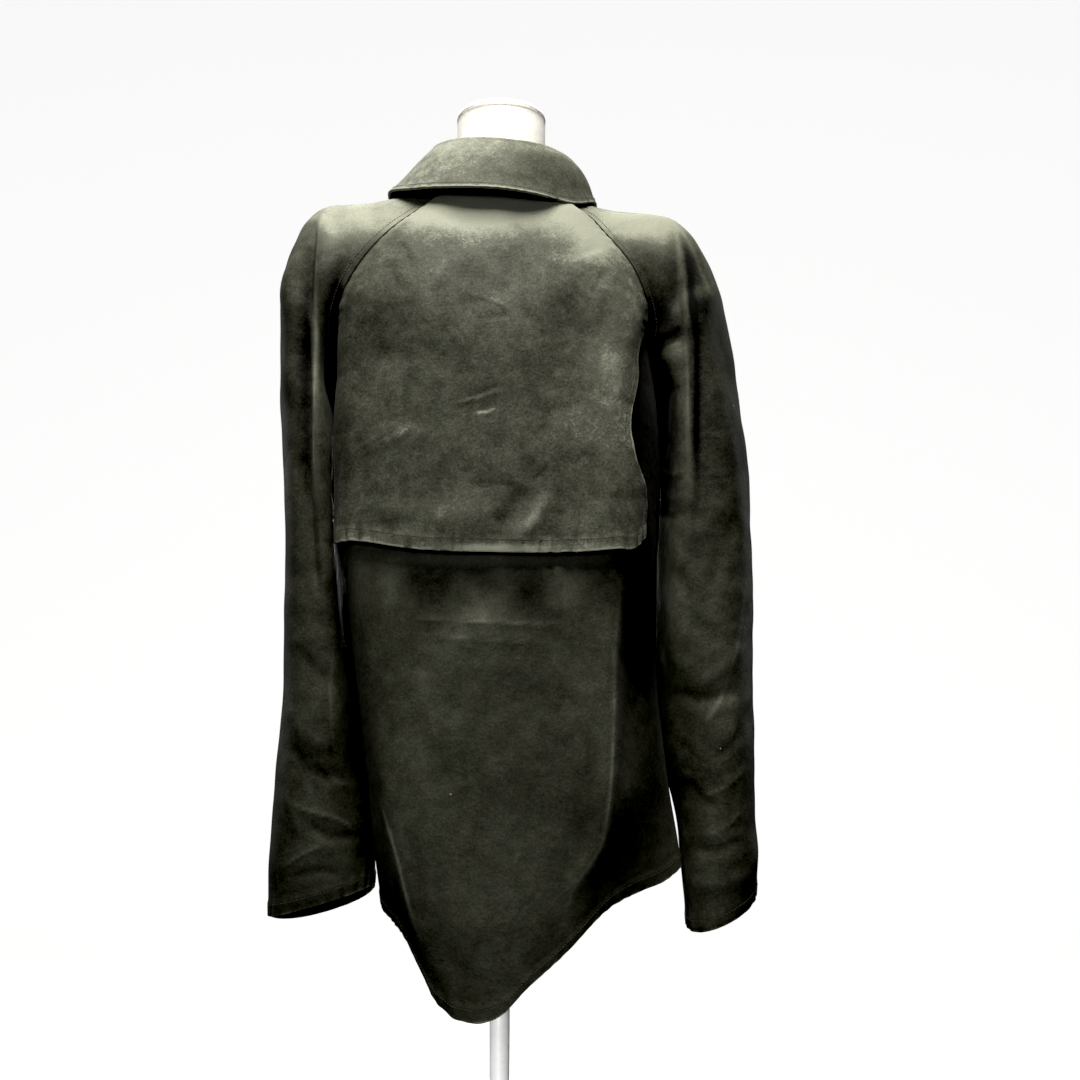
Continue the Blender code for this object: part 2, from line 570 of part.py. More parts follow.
def sleeve_grid(steps, rings, arcs, edge, folds):
    """A sleeve from the cuff up to the underarm, then on to the neck seam, row for row with the body."""
    below = np.array([ring_controls(ring) for ring in rings])
    seam_z = np.linspace(UNDERARM_Z, SEAM_TOP_Z, UPPER_ROWS + 1)
    columns = smooth([arc.seam_z for arc in arcs], np.array(arcs), seam_z)
    above = np.array([arc_controls(Arc(*row), edge) for row in columns])
    above[0, 0] = above[0, 6] = (above[0, 0] + above[0, 6]) / 2
    stations = np.concatenate([below, above])
    steps_up = np.linalg.norm(np.diff(stations[:, 3], axis=0), axis=1)
    knots = np.concatenate([[0], np.cumsum(steps_up)])
    tube = np.linspace(0, knots[len(below)], steps.along + 1)
    controls = smooth(knots, stations, tube)
    inner = smooth(knots[: len(below) + 1], stations[: len(below) + 1, 0], tube)
    controls[:, 0] = controls[:, 6] = inner
    controls = np.concatenate([controls, above[1:]])
    grid = curve_through(controls, np.linspace(0, 1, steps.across + 1))
    ends = grid[:, [0, -1]].copy()
    side = 1 if edge < 0.5 else -1
    grid = folded(grid, [fold._replace(depth=side * fold.depth) for fold in folds])
    grid[:, [0, -1]] = ends
    return meet_neck(grid[::-1])[::-1]


def collar_angles(steps, opening):
    """Angles from just past the front, round the back, to just short of the front again."""
    return np.linspace(-math.pi + opening, math.pi - opening, steps + 1)


def stand_grid(steps, rows=4):
    """The collar stand, from inside the neck seam up to the fall's seam."""
    angle = collar_angles(steps, COLLAR_OPENING * 0.4)
    foot = ring_points("neck", angle)
    head = ring_points("fold", angle, -0.0035)
    head[:, 2] -= 0.009
    share = np.linspace(1, 0, rows + 1)[:, None, None]
    return foot[None] * (1 - share) + head[None] * share


def fall_grid(steps, rows=8):
    """The collar fall, from its seam on the stand over the fold line and down to its free edge."""
    angle = collar_angles(steps, COLLAR_OPENING)
    seam = ring_points("fold", angle, -0.0035)
    seam[:, 2] -= 0.009 - STAND_GAP
    crest = ring_points("fold", angle)
    outer = ring_points("fold", angle, 0.0045)
    outer[:, 2] -= 0.005
    slant = np.clip(np.abs(angle) - 2.2, 0, None) / (math.pi - 2.2) * FALL_SLANT
    edge = ring_points("fall", angle - np.sign(angle) * slant)
    knots = [0.0, 0.12, 0.22, 1.0]
    share = np.concatenate([[0.0, 0.06, 0.12, 0.17], np.linspace(0.22, 1.0, rows - 3)])
    return smooth(knots, np.stack([seam, crest, outer, edge]), share)


def faces_of(rows, columns):
    """The quads of a grid of points."""
    first = np.arange(rows - 1)[:, None] * columns + np.arange(columns - 1)[None, :]
    first = first.reshape(-1)
    return np.stack([first, first + 1, first + columns + 1, first + columns], axis=1).tolist()


def cloth(name, grid, finish, parts):
    """A walled cloth piece on a grid of points."""
    rows, columns, _ = grid.shape
    mesh = bpy.data.meshes.new(name)
    mesh.from_pydata(grid.reshape(-1, 3).tolist(), [], faces_of(rows, columns))
    shape = bmesh.new()
    shape.from_mesh(mesh)
    bmesh.ops.remove_doubles(shape, verts=shape.verts, dist=1e-5)
    bmesh.ops.recalc_face_normals(shape, faces=shape.faces)
    shape.to_mesh(mesh)
    shape.free()
    mesh.materials.append(finish)
    mesh.shade_smooth()
    piece = bpy.data.objects.new(name, mesh)
    parts.objects.link(piece)
    wall = piece.modifiers.new("wall", "SOLIDIFY")
    wall.thickness = WALL
    wall.offset = 0.0
    wall.use_even_offset = False
    return piece


def loft(name, rings, finish, parts):
    """A closed solid through rings of equal point counts, with flat ends."""
    count = len(rings[0])
    points = [tuple(point) for ring in rings for point in ring]
    faces = [tuple(reversed(range(count)))]
    for row in range(len(rings) - 1):
        for step in range(count):
            here = row * count + step
            side = row * count + (step + 1) % count
            faces.append((here, side, side + count, here + count))
    faces.append(tuple(range((len(rings) - 1) * count, len(rings) * count)))
    mesh = bpy.data.meshes.new(name)
    mesh.from_pydata(points, [], faces)
    mesh.materials.append(finish)
    mesh.shade_smooth()
    piece = bpy.data.objects.new(name, mesh)
    parts.objects.link(piece)
    return piece


def oval(ring, sides):
    """One ring of the dress form, turned, with its right shoulder dropped a little."""
    angle = np.linspace(0, 2 * math.pi, sides, endpoint=False)
    x = ring.half_width * np.cos(angle)
    y = np.where(np.sin(angle) > 0, ring.back, ring.front) * np.sin(angle)
    turned_x = x * math.cos(FORM_TURN) - y * math.sin(FORM_TURN)
    turned_y = x * math.sin(FORM_TURN) + y * math.cos(FORM_TURN)
    beyond = eased((np.abs(x) - FORM_LEVEL) / (FORM_SHOULDER - FORM_LEVEL) * FORM_SPREAD)
    z = ring.z + FORM_DROP * np.sign(x) * beyond
    return np.stack([turned_x, turned_y, z], axis=1)


def build_form(parts):
    """The torso, neck, pole and base of the dress form."""
    linen = material("form_linen", LINEN, 0.9)
    paint = material("form_paint", PAINT, 0.5)
    loft("form_torso", [oval(ring, FORM_SIDES) for ring in FORM_RINGS], linen, parts)
    build_neck(linen, parts)
    bpy.ops.mesh.primitive_cylinder_add(
        vertices=20, radius=POLE_RADIUS, depth=POLE_Z[1] - POLE_Z[0], location=(0, 0, sum(POLE_Z) / 2)
    )
    adopt(bpy.context.object, "form_pole", paint, parts)
    bpy.ops.mesh.primitive_cylinder_add(
        vertices=40, radius=BASE_RADIUS, depth=BASE_HEIGHT, location=(0, 0, BASE_HEIGHT / 2)
    )
    base = adopt(bpy.context.object, "form_base", paint, parts)
    edge = base.modifiers.new("rim", "BEVEL")
    edge.width = 0.004
    edge.segments = 2


def build_neck(finish, parts):
    """The neck with its slightly domed cap."""
    bottom, top = FORM_NECK_Z
    profile = [(FORM_NECK_RADIUS, bottom), (FORM_NECK_RADIUS, top)]
    for step in range(1, 5):
        angle = step / 5 * math.pi / 2
        profile.append((FORM_NECK_RADIUS * math.cos(angle), top + FORM_CAP_RISE * math.sin(angle)))
    turn = np.linspace(0, 2 * math.pi, FORM_SIDES, endpoint=False)
    rings = []
    for radius, z in profile:
        x = FORM_NECK_CENTRE[0] + radius * np.cos(turn)
        y = FORM_NECK_CENTRE[1] + radius * np.sin(turn)
        rings.append(np.stack([x, y, np.full_like(x, z)], axis=1))
    loft("form_neck", rings, finish, parts)


def adopt(piece, name, finish, parts):
    """Name a new primitive, give it its material and move it into the parts collection."""
    piece.name = name
    piece.data.name = name
    piece.data.materials.append(finish)
    for home in list(piece.users_collection):
        home.objects.unlink(piece)
    parts.objects.link(piece)
    piece.data.shade_smooth()
    piece.data.set_sharp_from_angle(angle=math.radians(40))
    return piece


def build_buttons(front, parts):
    """Plain round buttons on the overlapping edge of the left front."""
    horn = material("button_horn", HORN, 0.4)
    normals = -normals_of(front)
    for number in range(BUTTON_COUNT):
        z = BUTTON_TOP_Z - number * BUTTON_PITCH
        column = front.shape[1] - 2
        row = int(np.argmin(np.abs(front[:, column, 2] - z)))
        normal = normals[row, column]
        normal = normal * np.sign(-normal[1])
        centre = front[row, column] + normal * (WALL / 2 + BUTTON_STAND + BUTTON_THICKNESS / 2)
        bpy.ops.mesh.primitive_cylinder_add(
            vertices=16, radius=BUTTON_RADIUS, depth=BUTTON_THICKNESS, location=centre
        )
        button = adopt(bpy.context.object, f"button_{number + 1}", horn, parts)
        button.rotation_euler = (math.atan2(-normal[1], normal[2]), 0, 0)
        rim = button.modifiers.new("rim", "BEVEL")
        rim.width = 0.0006
        rim.segments = 1


def build_coat(parts):
    """Every cloth piece of the coat and its buttons."""
    olive = material("waxed_olive", OLIVE, 0.55)
    collar = material("waxed_olive_collar", OLIVE_COLLAR, 0.6)
    seam = SEAM_INSET
    back = inset(back_grid(BACK_STEPS), left=seam, right=seam)
    cloth("back_panel", back, olive, parts)
    share = FRONT_OVERLAP
    left = inset(front_grid(FRONT_STEPS, 0.0, 0.5 + share, FRONT_LIFT), left=seam)
    right = inset(front_grid(FRONT_STEPS, 0.5 - share, 1.0, 0.0), right=seam)
    cloth("front_left", left, olive, parts)
    cloth("front_right", right, olive, parts)
    cloth("cape", inset(cape_grid(CAPE_STEPS), left=seam, right=seam), olive, parts)
    sleeves = (
        ("sleeve_left", LEFT_RINGS, LEFT_ARCS, 0.0, LEFT_SLEEVE_FOLDS),
        ("sleeve_right", RIGHT_RINGS, RIGHT_ARCS, 1.0, RIGHT_SLEEVE_FOLDS),
    )
    for name, rings, arcs, edge, folds in sleeves:
        cloth(name, sleeve_grid(SLEEVE_STEPS, rings, arcs, edge, folds), olive, parts)
    cloth("collar_stand", stand_grid(COLLAR_STEPS), collar, parts)
    cloth("collar_fall", fall_grid(COLLAR_STEPS), collar, parts)
    build_buttons(left, parts)


def main():
    clear_scene()
    parts = bpy.data.collections.new("coat_on_dress_form")
    bpy.context.scene.collection.children.link(parts)
    build_coat(parts)
    build_form(parts)


main()
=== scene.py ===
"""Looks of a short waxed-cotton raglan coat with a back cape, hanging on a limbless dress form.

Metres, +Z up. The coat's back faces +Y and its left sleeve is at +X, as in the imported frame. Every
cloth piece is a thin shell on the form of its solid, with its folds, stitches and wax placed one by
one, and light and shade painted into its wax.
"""

import logging
import math
from collections.abc import Callable, Mapping, Sequence
from dataclasses import dataclass, field
from enum import Enum
from typing import Any, NamedTuple

import bmesh
import bpy
import numpy as np
from bpy.types import Material, Node, NodeSocket, Object
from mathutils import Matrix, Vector


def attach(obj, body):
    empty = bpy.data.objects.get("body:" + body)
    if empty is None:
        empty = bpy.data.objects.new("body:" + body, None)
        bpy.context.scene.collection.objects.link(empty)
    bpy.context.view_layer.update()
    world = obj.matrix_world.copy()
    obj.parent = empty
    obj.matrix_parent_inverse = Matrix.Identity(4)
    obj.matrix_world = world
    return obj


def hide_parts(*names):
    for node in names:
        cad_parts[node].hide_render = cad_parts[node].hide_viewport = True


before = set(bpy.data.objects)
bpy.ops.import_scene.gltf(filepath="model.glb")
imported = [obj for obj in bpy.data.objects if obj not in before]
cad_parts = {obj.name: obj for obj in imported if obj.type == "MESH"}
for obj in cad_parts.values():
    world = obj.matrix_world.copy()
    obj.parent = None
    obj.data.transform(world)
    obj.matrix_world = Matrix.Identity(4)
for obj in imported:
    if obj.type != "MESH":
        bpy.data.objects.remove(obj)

log = logging.getLogger("waxed_coat")

Grid = np.ndarray
Values = np.ndarray
Colour = tuple[float, float, float]
Place = tuple[float, float]

BODY = "root"
MILLIMETRE = 0.001

# The cloth's wall, single and at a hem, the gap at a seam, and how layers lie on each other
WALL = 0.0016
HEM_WALL = 0.0030
SEAM_INSET = 0.00045
LAYER = WALL + SEAM_INSET
UNDERARM_LAYER = 0.0027

# Heights of the underarm and the neck seam, and where and how closely columns gather at a turn
UNDERARM_Z = 1.10
SEAM_TOP_Z = 1.318
SPREAD_Z = 0.98
TURN_LENGTH = 0.09

# How much lighter the wax is where it faces up: lost wax and dust, and painted top light
DUST_AND_TOP_LIGHT = 0.70

# Rows of stitches: how far in from their edges and how far outside the wall's middle they run, and
# the distance that stands for no seam near
SEAM_ROW = 0.0085
HEM_ROW = 0.0112
COLLAR_ROW = 0.0055
THREAD_LIFT = 0.0011
HEM_LIFT = THREAD_LIFT + 0.0004
FAR = 0.2

# How far from a seam, and from the neck seam, the cloth is held still
SEAM_HELD = 0.012
NECK_HELD = 0.02

# A wall's rounded edge and the angle over which it is rounded, the angle over which a turned
# piece shades sharp, and how near points are joined
LIP = 0.0006
LIP_ANGLE = math.radians(62)
SHARP_ANGLE = math.radians(42)
MERGE = 1e-5

# How far a cubic's middle reaches toward its two inner controls, and the sleeve's arcs per knot
REACHED = 0.75
ARC_STEP = 6

# How steeply a lap steps, in millimetres
LAP_STEP = 1.6

# Points on the wearer's side of the back and of the front
INSIDE_BACK = np.array([0.0, -0.05, 1.0])
INSIDE_FRONT = np.array([0.0, 0.05, 1.0])
WHITE = (1.0, 1.0, 1.0)
RIDGED = "RIDGED_MULTIFRACTAL"


# ---- the coat's sections


class Around(NamedTuple):
    """The collar's rings at one angle round the neck."""

    degrees: float
    neck_radius: float
    neck_z: float
    fold_radius: float
    fold_z: float
    fall_radius: float
    fall_z: float


class Edge(NamedTuple):
    """A hem's height at a share across."""

    across: float
    z: float


class CapeRow(NamedTuple):
    """How far in the cape's free edges hang at a height, and how far it stands off the back."""

    z: float
    left: float
    right: float
    stand_off: float


class Ring(NamedTuple):
    """A closed sleeve ring below the underarm, in millimetres."""

    inner_x: float
    inner_y: float
    inner_z: float
    over_x: float
    over_y: float
    over_z: float
    back: float
    front: float
    back_drop: float
    front_drop: float


class Arc(NamedTuple):
    """A sleeve arc between the two raglan seams."""

    seam_z: float
    over_x: float
    over_y: float
    over_z: float
    turn: float
    seam_pull: float
    back_pull: float
    front_pull: float


class Cut(NamedTuple):
    """A sheet's flat width and length, and its area where that is less than the rectangle's."""

    flat: Place
    area: float | None = None


class Fold(NamedTuple):
    """A trough or ridge between two places on a piece, as shares across and along it."""

    across_1: float
    along_1: float
    across_2: float
    along_2: float
    half_width: float
    depth: float


NECK_CENTRE = (0.002, -0.006)
NECK_CLEARANCE = 0.0021
NECK_BLEND = 0.05
COLLAR_TABLE = (
    Around(0, 0.0700, 1.316, 0.0760, 1.3600, 0.1160, 1.290),
    Around(45, 0.0740, 1.319, 0.0765, 1.3680, 0.1190, 1.303),
    Around(90, 0.0780, 1.326, 0.0725, 1.3750, 0.1215, 1.325),
    Around(135, 0.0760, 1.305, 0.0780, 1.3520, 0.1240, 1.302),
    Around(180, 0.0740, 1.268, 0.0800, 1.3220, 0.1220, 1.242),
    Around(225, 0.0760, 1.300, 0.0800, 1.3450, 0.1120, 1.298),
    Around(270, 0.0770, 1.318, 0.0815, 1.3545, 0.1020, 1.317),
    Around(315, 0.0730, 1.316, 0.0780, 1.3580, 0.1030, 1.292),
)

# Millimetres: height, then x and y of the left seam, left ridge, middle, right ridge and right
# seam, and how far each flank bulges
BACK_SECTIONS = (
    (1330, 48, 50, 30, 60, 2, 64, -26, 58, -44, 44, 1, 1),
    (1300, 67, 62, 46, 72, 1, 77, -42, 68, -61, 52, 1, 1),
    (1282, 83, 72, 55, 82, 1, 87, -56, 76, -86, 59, 1, 1),
    (1260, 108, 80, 72, 92, 1, 98, -68, 84, -105, 64, 1, 1),
    (1222, 140, 85, 98, 104, 0, 113, -94, 95, -134, 65, 2, 2),
    (1184, 160, 78, 124, 110, 0, 124, -114, 101, -149, 52, 3, 3),
    (1142, 168, 50, 144, 107, 0, 132, -126, 103, -154, 22, 4, 5),
    (1100, 163, 6, 152, 103, -1, 138, -129, 106, -162, -22, 6, 11),
    (1000, 162, 4, 152, 105, -2, 144, -132, 113, -165, -12, 6, 13),
    (920, 156, 2, 148, 109, 0, 147, -127, 125, -161, -4, 6, 14),
    (800, 139, 0, 122, 114, 4, 150, -111, 137, -159, 8, 14, 17),
    (700, 126, 0, 108, 117, 8, 152, -109, 140, -168, 20, 15, 10),
    (620, 121, 0, 94, 117, 12, 151, -90, 140, -179, 28, 14, 3),
    (480, 112, 0, 55, 116, 14, 150, -47, 142, -184, 34, 6, 0),
)
BACK_CORNERS_AT = (0.0, 0.12, 0.21, 0.5, 0.79, 0.88, 1.0)
BACK_ROUNDING = 0.075
FLANK_SHARE = 0.57

# Millimetres: height, then x and y of the left seam, left fold, middle, right fold and right seam
FRONT_SECTIONS = (
    (1340, 58, -30, 34, -50, 0, -62, -34, -58, -60, -38),
    (1300, 83, -53, 50, -74, -2, -86, -56, -84, -85, -64),
    (1265, 105, -73, 70, -94, -4, -106, -76, -103, -103, -84),
    (1220, 135, -86, 92, -108, -8, -119, -100, -116, -128, -98),
    (1180, 154, -78, 108, -112, -11, -126, -115, -120, -143, -94),
    (1140, 165, -44, 116, -111, -13, -129, -124, -121, -153, -70),
    (1100, 163, 6, 119, -109, -14, -130, -129, -120, -162, -22),
    (1000, 162, 4, 120, -105, -15, -130, -132, -116, -165, -12),
    (920, 156, 2, 115, -103, -18, -128, -133, -110, -161, -4),
    (800, 139, 0, 106, -100, -22, -125, -136, -104, -159, 8),
    (700, 126, 0, 98, -97, -26, -122, -141, -96, -168, 20),
    (620, 121, 0, 90, -94, -30, -120, -146, -90, -179, 28),
    (560, 117, 0, 86, -92, -32, -118, -148, -88, -180, 31),
)
FRONT_FOLDS_AT = (0.0, 0.27, 0.5, 0.74, 1.0)
FRONT_ROUNDING = 0.13
EDGE_COLUMNS = (0, 1, 8, 9)


# ---- curves and surfaces


def smooth(knots: Sequence[float], values: Any, where: Any) -> Values:
    """A cubic through the values at rising knots.

    Args:
        knots: Rising places at which the values are known.
        values: A value, or a row of values, for each knot.
        where: Places to read; one past an end reads the end.

    Returns:
        The values at each place.
    """
    knots = np.asarray(knots, float)
    values = np.asarray(values, float)
    where = np.clip(np.asarray(where, float), knots[0], knots[-1])
    steps = np.diff(knots)
    tail = (1,) * (values.ndim - 1)
    chords = np.diff(values, axis=0) / steps.reshape(-1, *tail)
    before = steps[:-1].reshape(-1, *tail)
    after = steps[1:].reshape(-1, *tail)
    inner = (chords[:-1] * after + chords[1:] * before) / (before + after)
    slopes = np.concatenate([chords[:1], inner, chords[-1:]])
    index = np.clip(np.searchsorted(knots, where, side="right") - 1, 0, len(steps) - 1)
    width = steps[index]
    t = ((where - knots[index]) / width).reshape(where.shape + tail)
    width = width.reshape(where.shape + tail)
    start = values[index] * (1 + 2 * t) * (1 - t) ** 2
    start = start + slopes[index] * width * t * (1 - t) ** 2
    end = values[index + 1] * t**2 * (3 - 2 * t)
    return start + end + slopes[index + 1] * width * t**2 * (t - 1)


def placed(name: str, data: bpy.types.ID) -> Object:
    """A new object in the scene."""
    made = bpy.data.objects.new(name, data)
    bpy.context.scene.collection.objects.link(made)
    return made


def eased(share: Any) -> Values:
    """A soft step from 0 to 1."""
    share = np.clip(share, 0.0, 1.0)
    return share * share * (3 - 2 * share)


def rounded(knots: Sequence[float], corners: Grid, where: Values, reach: float) -> Grid:
    """Straight runs between corners, with every corner rounded.

    Args:
        knots: Share across of each corner.
        corners: Corner points, one set for each place.
        where: Share across of each place.
        reach: Half the share over which a corner is rounded.

    Returns:
        One point for each place.
    """
    knots = np.asarray(knots, float)
    room = np.minimum(reach, np.minimum(where - knots[0], knots[-1] - where))
    total = np.zeros((len(where), corners.shape[2]))
    weights = 0.0
    rows = np.arange(len(where))
    for offset in np.linspace(-1, 1, 13):
        place = where + room * offset
        index = np.clip(np.searchsorted(knots, place, side="right") - 1, 0, len(knots) - 2)
        share = ((place - knots[index]) / (knots[index + 1] - knots[index]))[:, None]
        weight = 1.05 - abs(offset)
        run = corners[rows, index] * (1 - share) + corners[rows, index + 1] * share
        total = total + weight * run
        weights += weight
    return total / weights


def normals_of(grid: Grid) -> Grid:
    """Unit normals of a grid of points, across by along."""
    normal = np.cross(np.gradient(grid, axis=1), np.gradient(grid, axis=0))
    return normal / np.maximum(np.linalg.norm(normal, axis=2, keepdims=True), 1e-12)


def run_lengths(grid: Grid, axis: int) -> Values:
    """Length run along an axis of a grid, from its first point."""
    steps = np.linalg.norm(np.diff(grid, axis=axis), axis=2)
    run = np.cumsum(steps, axis=axis)
    pad = [(0, 0), (0, 0)]
    pad[axis] = (1, 0)
    return np.pad(run, pad)


def section_points(sections: Sequence[Sequence[float]], z: Values) -> tuple[Grid, Values]:
    """The five corner points at each height, and the columns after them.

    Args:
        sections: Rows in millimetres, falling in height.
        z: Heights to read.

    Returns:
        Corner points as heights by five by two, and the remaining columns.
    """
    table = np.array(sections)[::-1] / 1000
    read = smooth(table[:, 0], table[:, 1:], z)
    split = int(np.argmin(np.abs(table[:, 0] - UNDERARM_Z)))
    below = smooth(table[: split + 1, 0], table[: split + 1, 1:], z)
    above = smooth(table[split:, 0], table[split:, 1:], z)
    edges = np.where((z < UNDERARM_Z)[:, None], below, above)
    for column in EDGE_COLUMNS:
        read[:, column] = edges[:, column]
    return read[:, :10].reshape(len(z), 5, 2), read[:, 10:]


def back_surface(across: Values, z: Values) -> Grid:
    """Points of the back at shares across it and heights."""
    shape = np.broadcast(across, z).shape
    flat_across = np.broadcast_to(across, shape).reshape(-1)
    flat_z = np.broadcast_to(z, shape).reshape(-1)
    points, bulges = section_points(BACK_SECTIONS, flat_z)
    left_flank = points[:, 0] * (1 - FLANK_SHARE) + points[:, 1] * FLANK_SHARE
    right_flank = points[:, 4] * (1 - FLANK_SHARE) + points[:, 3] * FLANK_SHARE
    left_flank[:, 0] += bulges[:, 0]
    right_flank[:, 0] -= bulges[:, 1]
    ridges = points[:, 1:4].transpose(1, 0, 2)
    corners = np.stack([points[:, 0], left_flank, *ridges, right_flank, points[:, 4]], axis=1)
    flat = rounded(BACK_CORNERS_AT, corners, flat_across, BACK_ROUNDING)
    return np.concatenate([flat, flat_z[:, None]], axis=1).reshape(*shape, 3)


def front_surface(across: Values, z: Values) -> Grid:
    """Points of the front at shares across it and heights."""
    shape = np.broadcast(across, z).shape
    flat_across = np.broadcast_to(across, shape).reshape(-1)
    flat_z = np.broadcast_to(z, shape).reshape(-1)
    corners, _ = section_points(FRONT_SECTIONS, flat_z)
    flat = rounded(FRONT_FOLDS_AT, corners, flat_across, FRONT_ROUNDING)
    return np.concatenate([flat, flat_z[:, None]], axis=1).reshape(*shape, 3)


def turning_shares(surface: Callable[[Values, Values], Grid], steps: int) -> Values:
    """Shares across a surface, closer together where its level section turns."""
    fine = np.linspace(0.0, 1.0, 241)
    run = np.diff(surface(fine, np.full_like(fine, SPREAD_Z))[:, :2], axis=0)
    heading = np.unwrap(np.arctan2(run[:, 1], run[:, 0]))
    turn = np.abs(np.diff(heading, prepend=heading[0]))
    spent = np.linalg.norm(run, axis=1) + TURN_LENGTH * turn
    measure = np.concatenate([[0], np.cumsum(spent)])
    return np.interp(np.linspace(0, measure[-1], steps + 1), measure, fine)


def heights(upper: int, lower: int, top: Values | float, bottom: Values) -> Grid:
    """Row heights for each column: from its top to the underarm's level, then on to its bottom."""
    top = np.broadcast_to(top, bottom.shape)
    first = top + (UNDERARM_Z - top) * np.linspace(0, 1, upper + 1)[:, None]
    last = UNDERARM_Z + (bottom - UNDERARM_Z) * np.linspace(0, 1, lower + 1)[1:, None]
    return np.concatenate([first, last])


def around(column: str, angle: Values) -> Values:
    """A collar table's column at angles round the neck: 0 at the back, rising to the left."""
    table = np.array(COLLAR_TABLE)
    knots = np.concatenate([table[:, 0] - 360, table[:, 0], table[:, 0] + 360])
    values = np.tile(table[:, Around._fields.index(column)], 3)
    return smooth(knots, values, np.degrees(angle))


def ring_points(name: str, angle: Values, spread: float = 0.0) -> Grid:
    """Points at angles on one of the collar table's rings: neck, fold or fall."""
    reach = around(f"{name}_radius", angle) + spread
    x = NECK_CENTRE[0] + reach * np.sin(angle)
    y = NECK_CENTRE[1] + reach * np.cos(angle)
    return np.stack([x, y, around(f"{name}_z", angle)], axis=-1)


def meet_neck(grid: Grid) -> Grid:
    """The grid with its top row moved onto the neck seam and the rows below eased after it."""
    top = grid[0]
    angle = np.arctan2(top[:, 0] - NECK_CENTRE[0], top[:, 1] - NECK_CENTRE[1])
    seam = ring_points("neck", angle, NECK_CLEARANCE)
    away = np.linalg.norm(grid - top[None], axis=2, keepdims=True)
    return grid + (seam - top)[None] * (1 - eased(away / NECK_BLEND))


def folded(grid: Grid, folds: Sequence[Fold], across: Values | None = None) -> Grid:
    """The grid with each fold pressed into it along its normals."""
    places = np.linspace(0, 1, grid.shape[1]) if across is None else across
    along = np.linspace(0, 1, grid.shape[0])[:, None]
    shift = np.zeros(grid.shape[:2])
    for fold in folds:
        share = (along - fold.along_1) / (fold.along_2 - fold.along_1)
        centre = fold.across_1 + share * (fold.across_2 - fold.across_1)
        window = eased(share / 0.25) * eased((1 - share) / 0.25)
        gap = (places[None, :] - centre) / fold.half_width
        shift += fold.depth * window * np.exp(-(gap**2))
    return grid - normals_of(grid) * shift[..., None]


def inset(grid: Grid, left: float = 0.0, right: float = 0.0) -> Grid:
    """The grid with its side edges drawn in along the surface, to leave room at the seams."""
    out = grid.copy()
    for edge, inner, amount in ((0, 1, left), (-1, -2, right)):
        run = grid[:, inner] - grid[:, edge]
        length = np.maximum(np.linalg.norm(run, axis=1, keepdims=True), 1e-9)
        out[:, edge] += run / length * amount
    return out


def read_edges(edges: Sequence[Edge], across: Values) -> Values:
    """Hem heights at shares across."""
    return smooth([edge.across for edge in edges], [edge.z for edge in edges], across)


# ---- what the camera sees where


@dataclass(frozen=True)
class Sight:
    """The camera's place and lens, and the 1080 frame that it sees.

    One frame step is close to one millimetre on the coat, so fold widths are given in millimetres.
    """

    place: tuple[float, float, float] = (-0.040, 1.580, 0.700)
    pitch: float = math.radians(9)
    focal: float = 1538.0
    frame_size: float = 1080.0
    sensor: float = 36.0

    @property
    def ahead(self) -> np.ndarray:
        """The direction in which the camera looks."""
        return np.array([0.0, -math.cos(self.pitch), math.sin(self.pitch)])

    def seen(self, points: Grid) -> Grid:
        """Frame places of points, right and down from the top left corner."""
        offset = points - np.array(self.place)
        depth = offset @ self.ahead
        up = offset @ np.array([0.0, math.sin(self.pitch), math.cos(self.pitch)])
        half = self.frame_size / 2
        across = half - self.focal * offset[..., 0] / depth
        return np.stack([across, half - self.focal * up / depth], axis=-1)

    def facing(self, points: Grid, normals: Grid, full: float = 0.42) -> Values:
        """How far points turn to the camera: 0 from edge on, 1 where the cosine reaches full."""
        toward = np.array(self.place) - points
        toward /= np.linalg.norm(toward, axis=-1, keepdims=True)
        return eased((toward * normals).sum(axis=-1) / full)

    def camera(self) -> Object:
        """The scene's camera."""
        data = bpy.data.cameras.new("camera")
        data.sensor_width = self.sensor
        data.lens = self.sensor * self.focal / self.frame_size
        made = placed("camera", data)
        made.location = self.place
        made.rotation_euler = Vector(self.ahead).to_track_quat("-Z", "Y").to_euler()
        bpy.context.scene.camera = made
        return made


SIGHT = Sight()


class Profile(Enum):
    """The cross-section of a fold."""

    SOFT = "soft"
    CRISP = "crisp"
    LAP = "lap"


class Part(Enum):
    """Which pieces a fold, mark or patch lies on."""

    CAPE = "cape"
    BACK = "back"
    LEFT = "left sleeve"
    RIGHT = "right sleeve"
    COLLAR = "collar"
    HIDDEN = "hidden side"


def path_reading(path: Sequence[Place], places: Grid) -> tuple[Values, Values]:
    """Where places lie beside a path.

    Args:
        path: Corners of the path, which is rounded through them.
        places: Frame places.

    Returns:
        Signed distance, positive on the right of a path that runs down, and share along.
    """
    corners = np.array(path, float)
    knots = np.concatenate([[0], np.cumsum(np.linalg.norm(np.diff(corners, axis=0), axis=1))])
    line = smooth(knots, corners, np.linspace(0, knots[-1], 4 * len(corners) + 1))
    best = np.full(places.shape[:-1], 1e9)
    side = np.zeros_like(best)
    share = np.zeros_like(best)
    count = len(line) - 1
    for index in range(count):
        start, run = line[index], line[index + 1] - line[index]
        offset = places - start
        t = np.clip((offset @ run) / max(run @ run, 1e-9), 0, 1)
        gap = np.linalg.norm(offset - t[..., None] * run, axis=-1)
        nearer = gap < best
        cross = run[1] * offset[..., 0] - run[0] * offset[..., 1]
        best = np.where(nearer, gap, best)
        side = np.where(nearer, np.sign(cross), side)
        share = np.where(nearer, (index + t) / count, share)
    return best * side, share


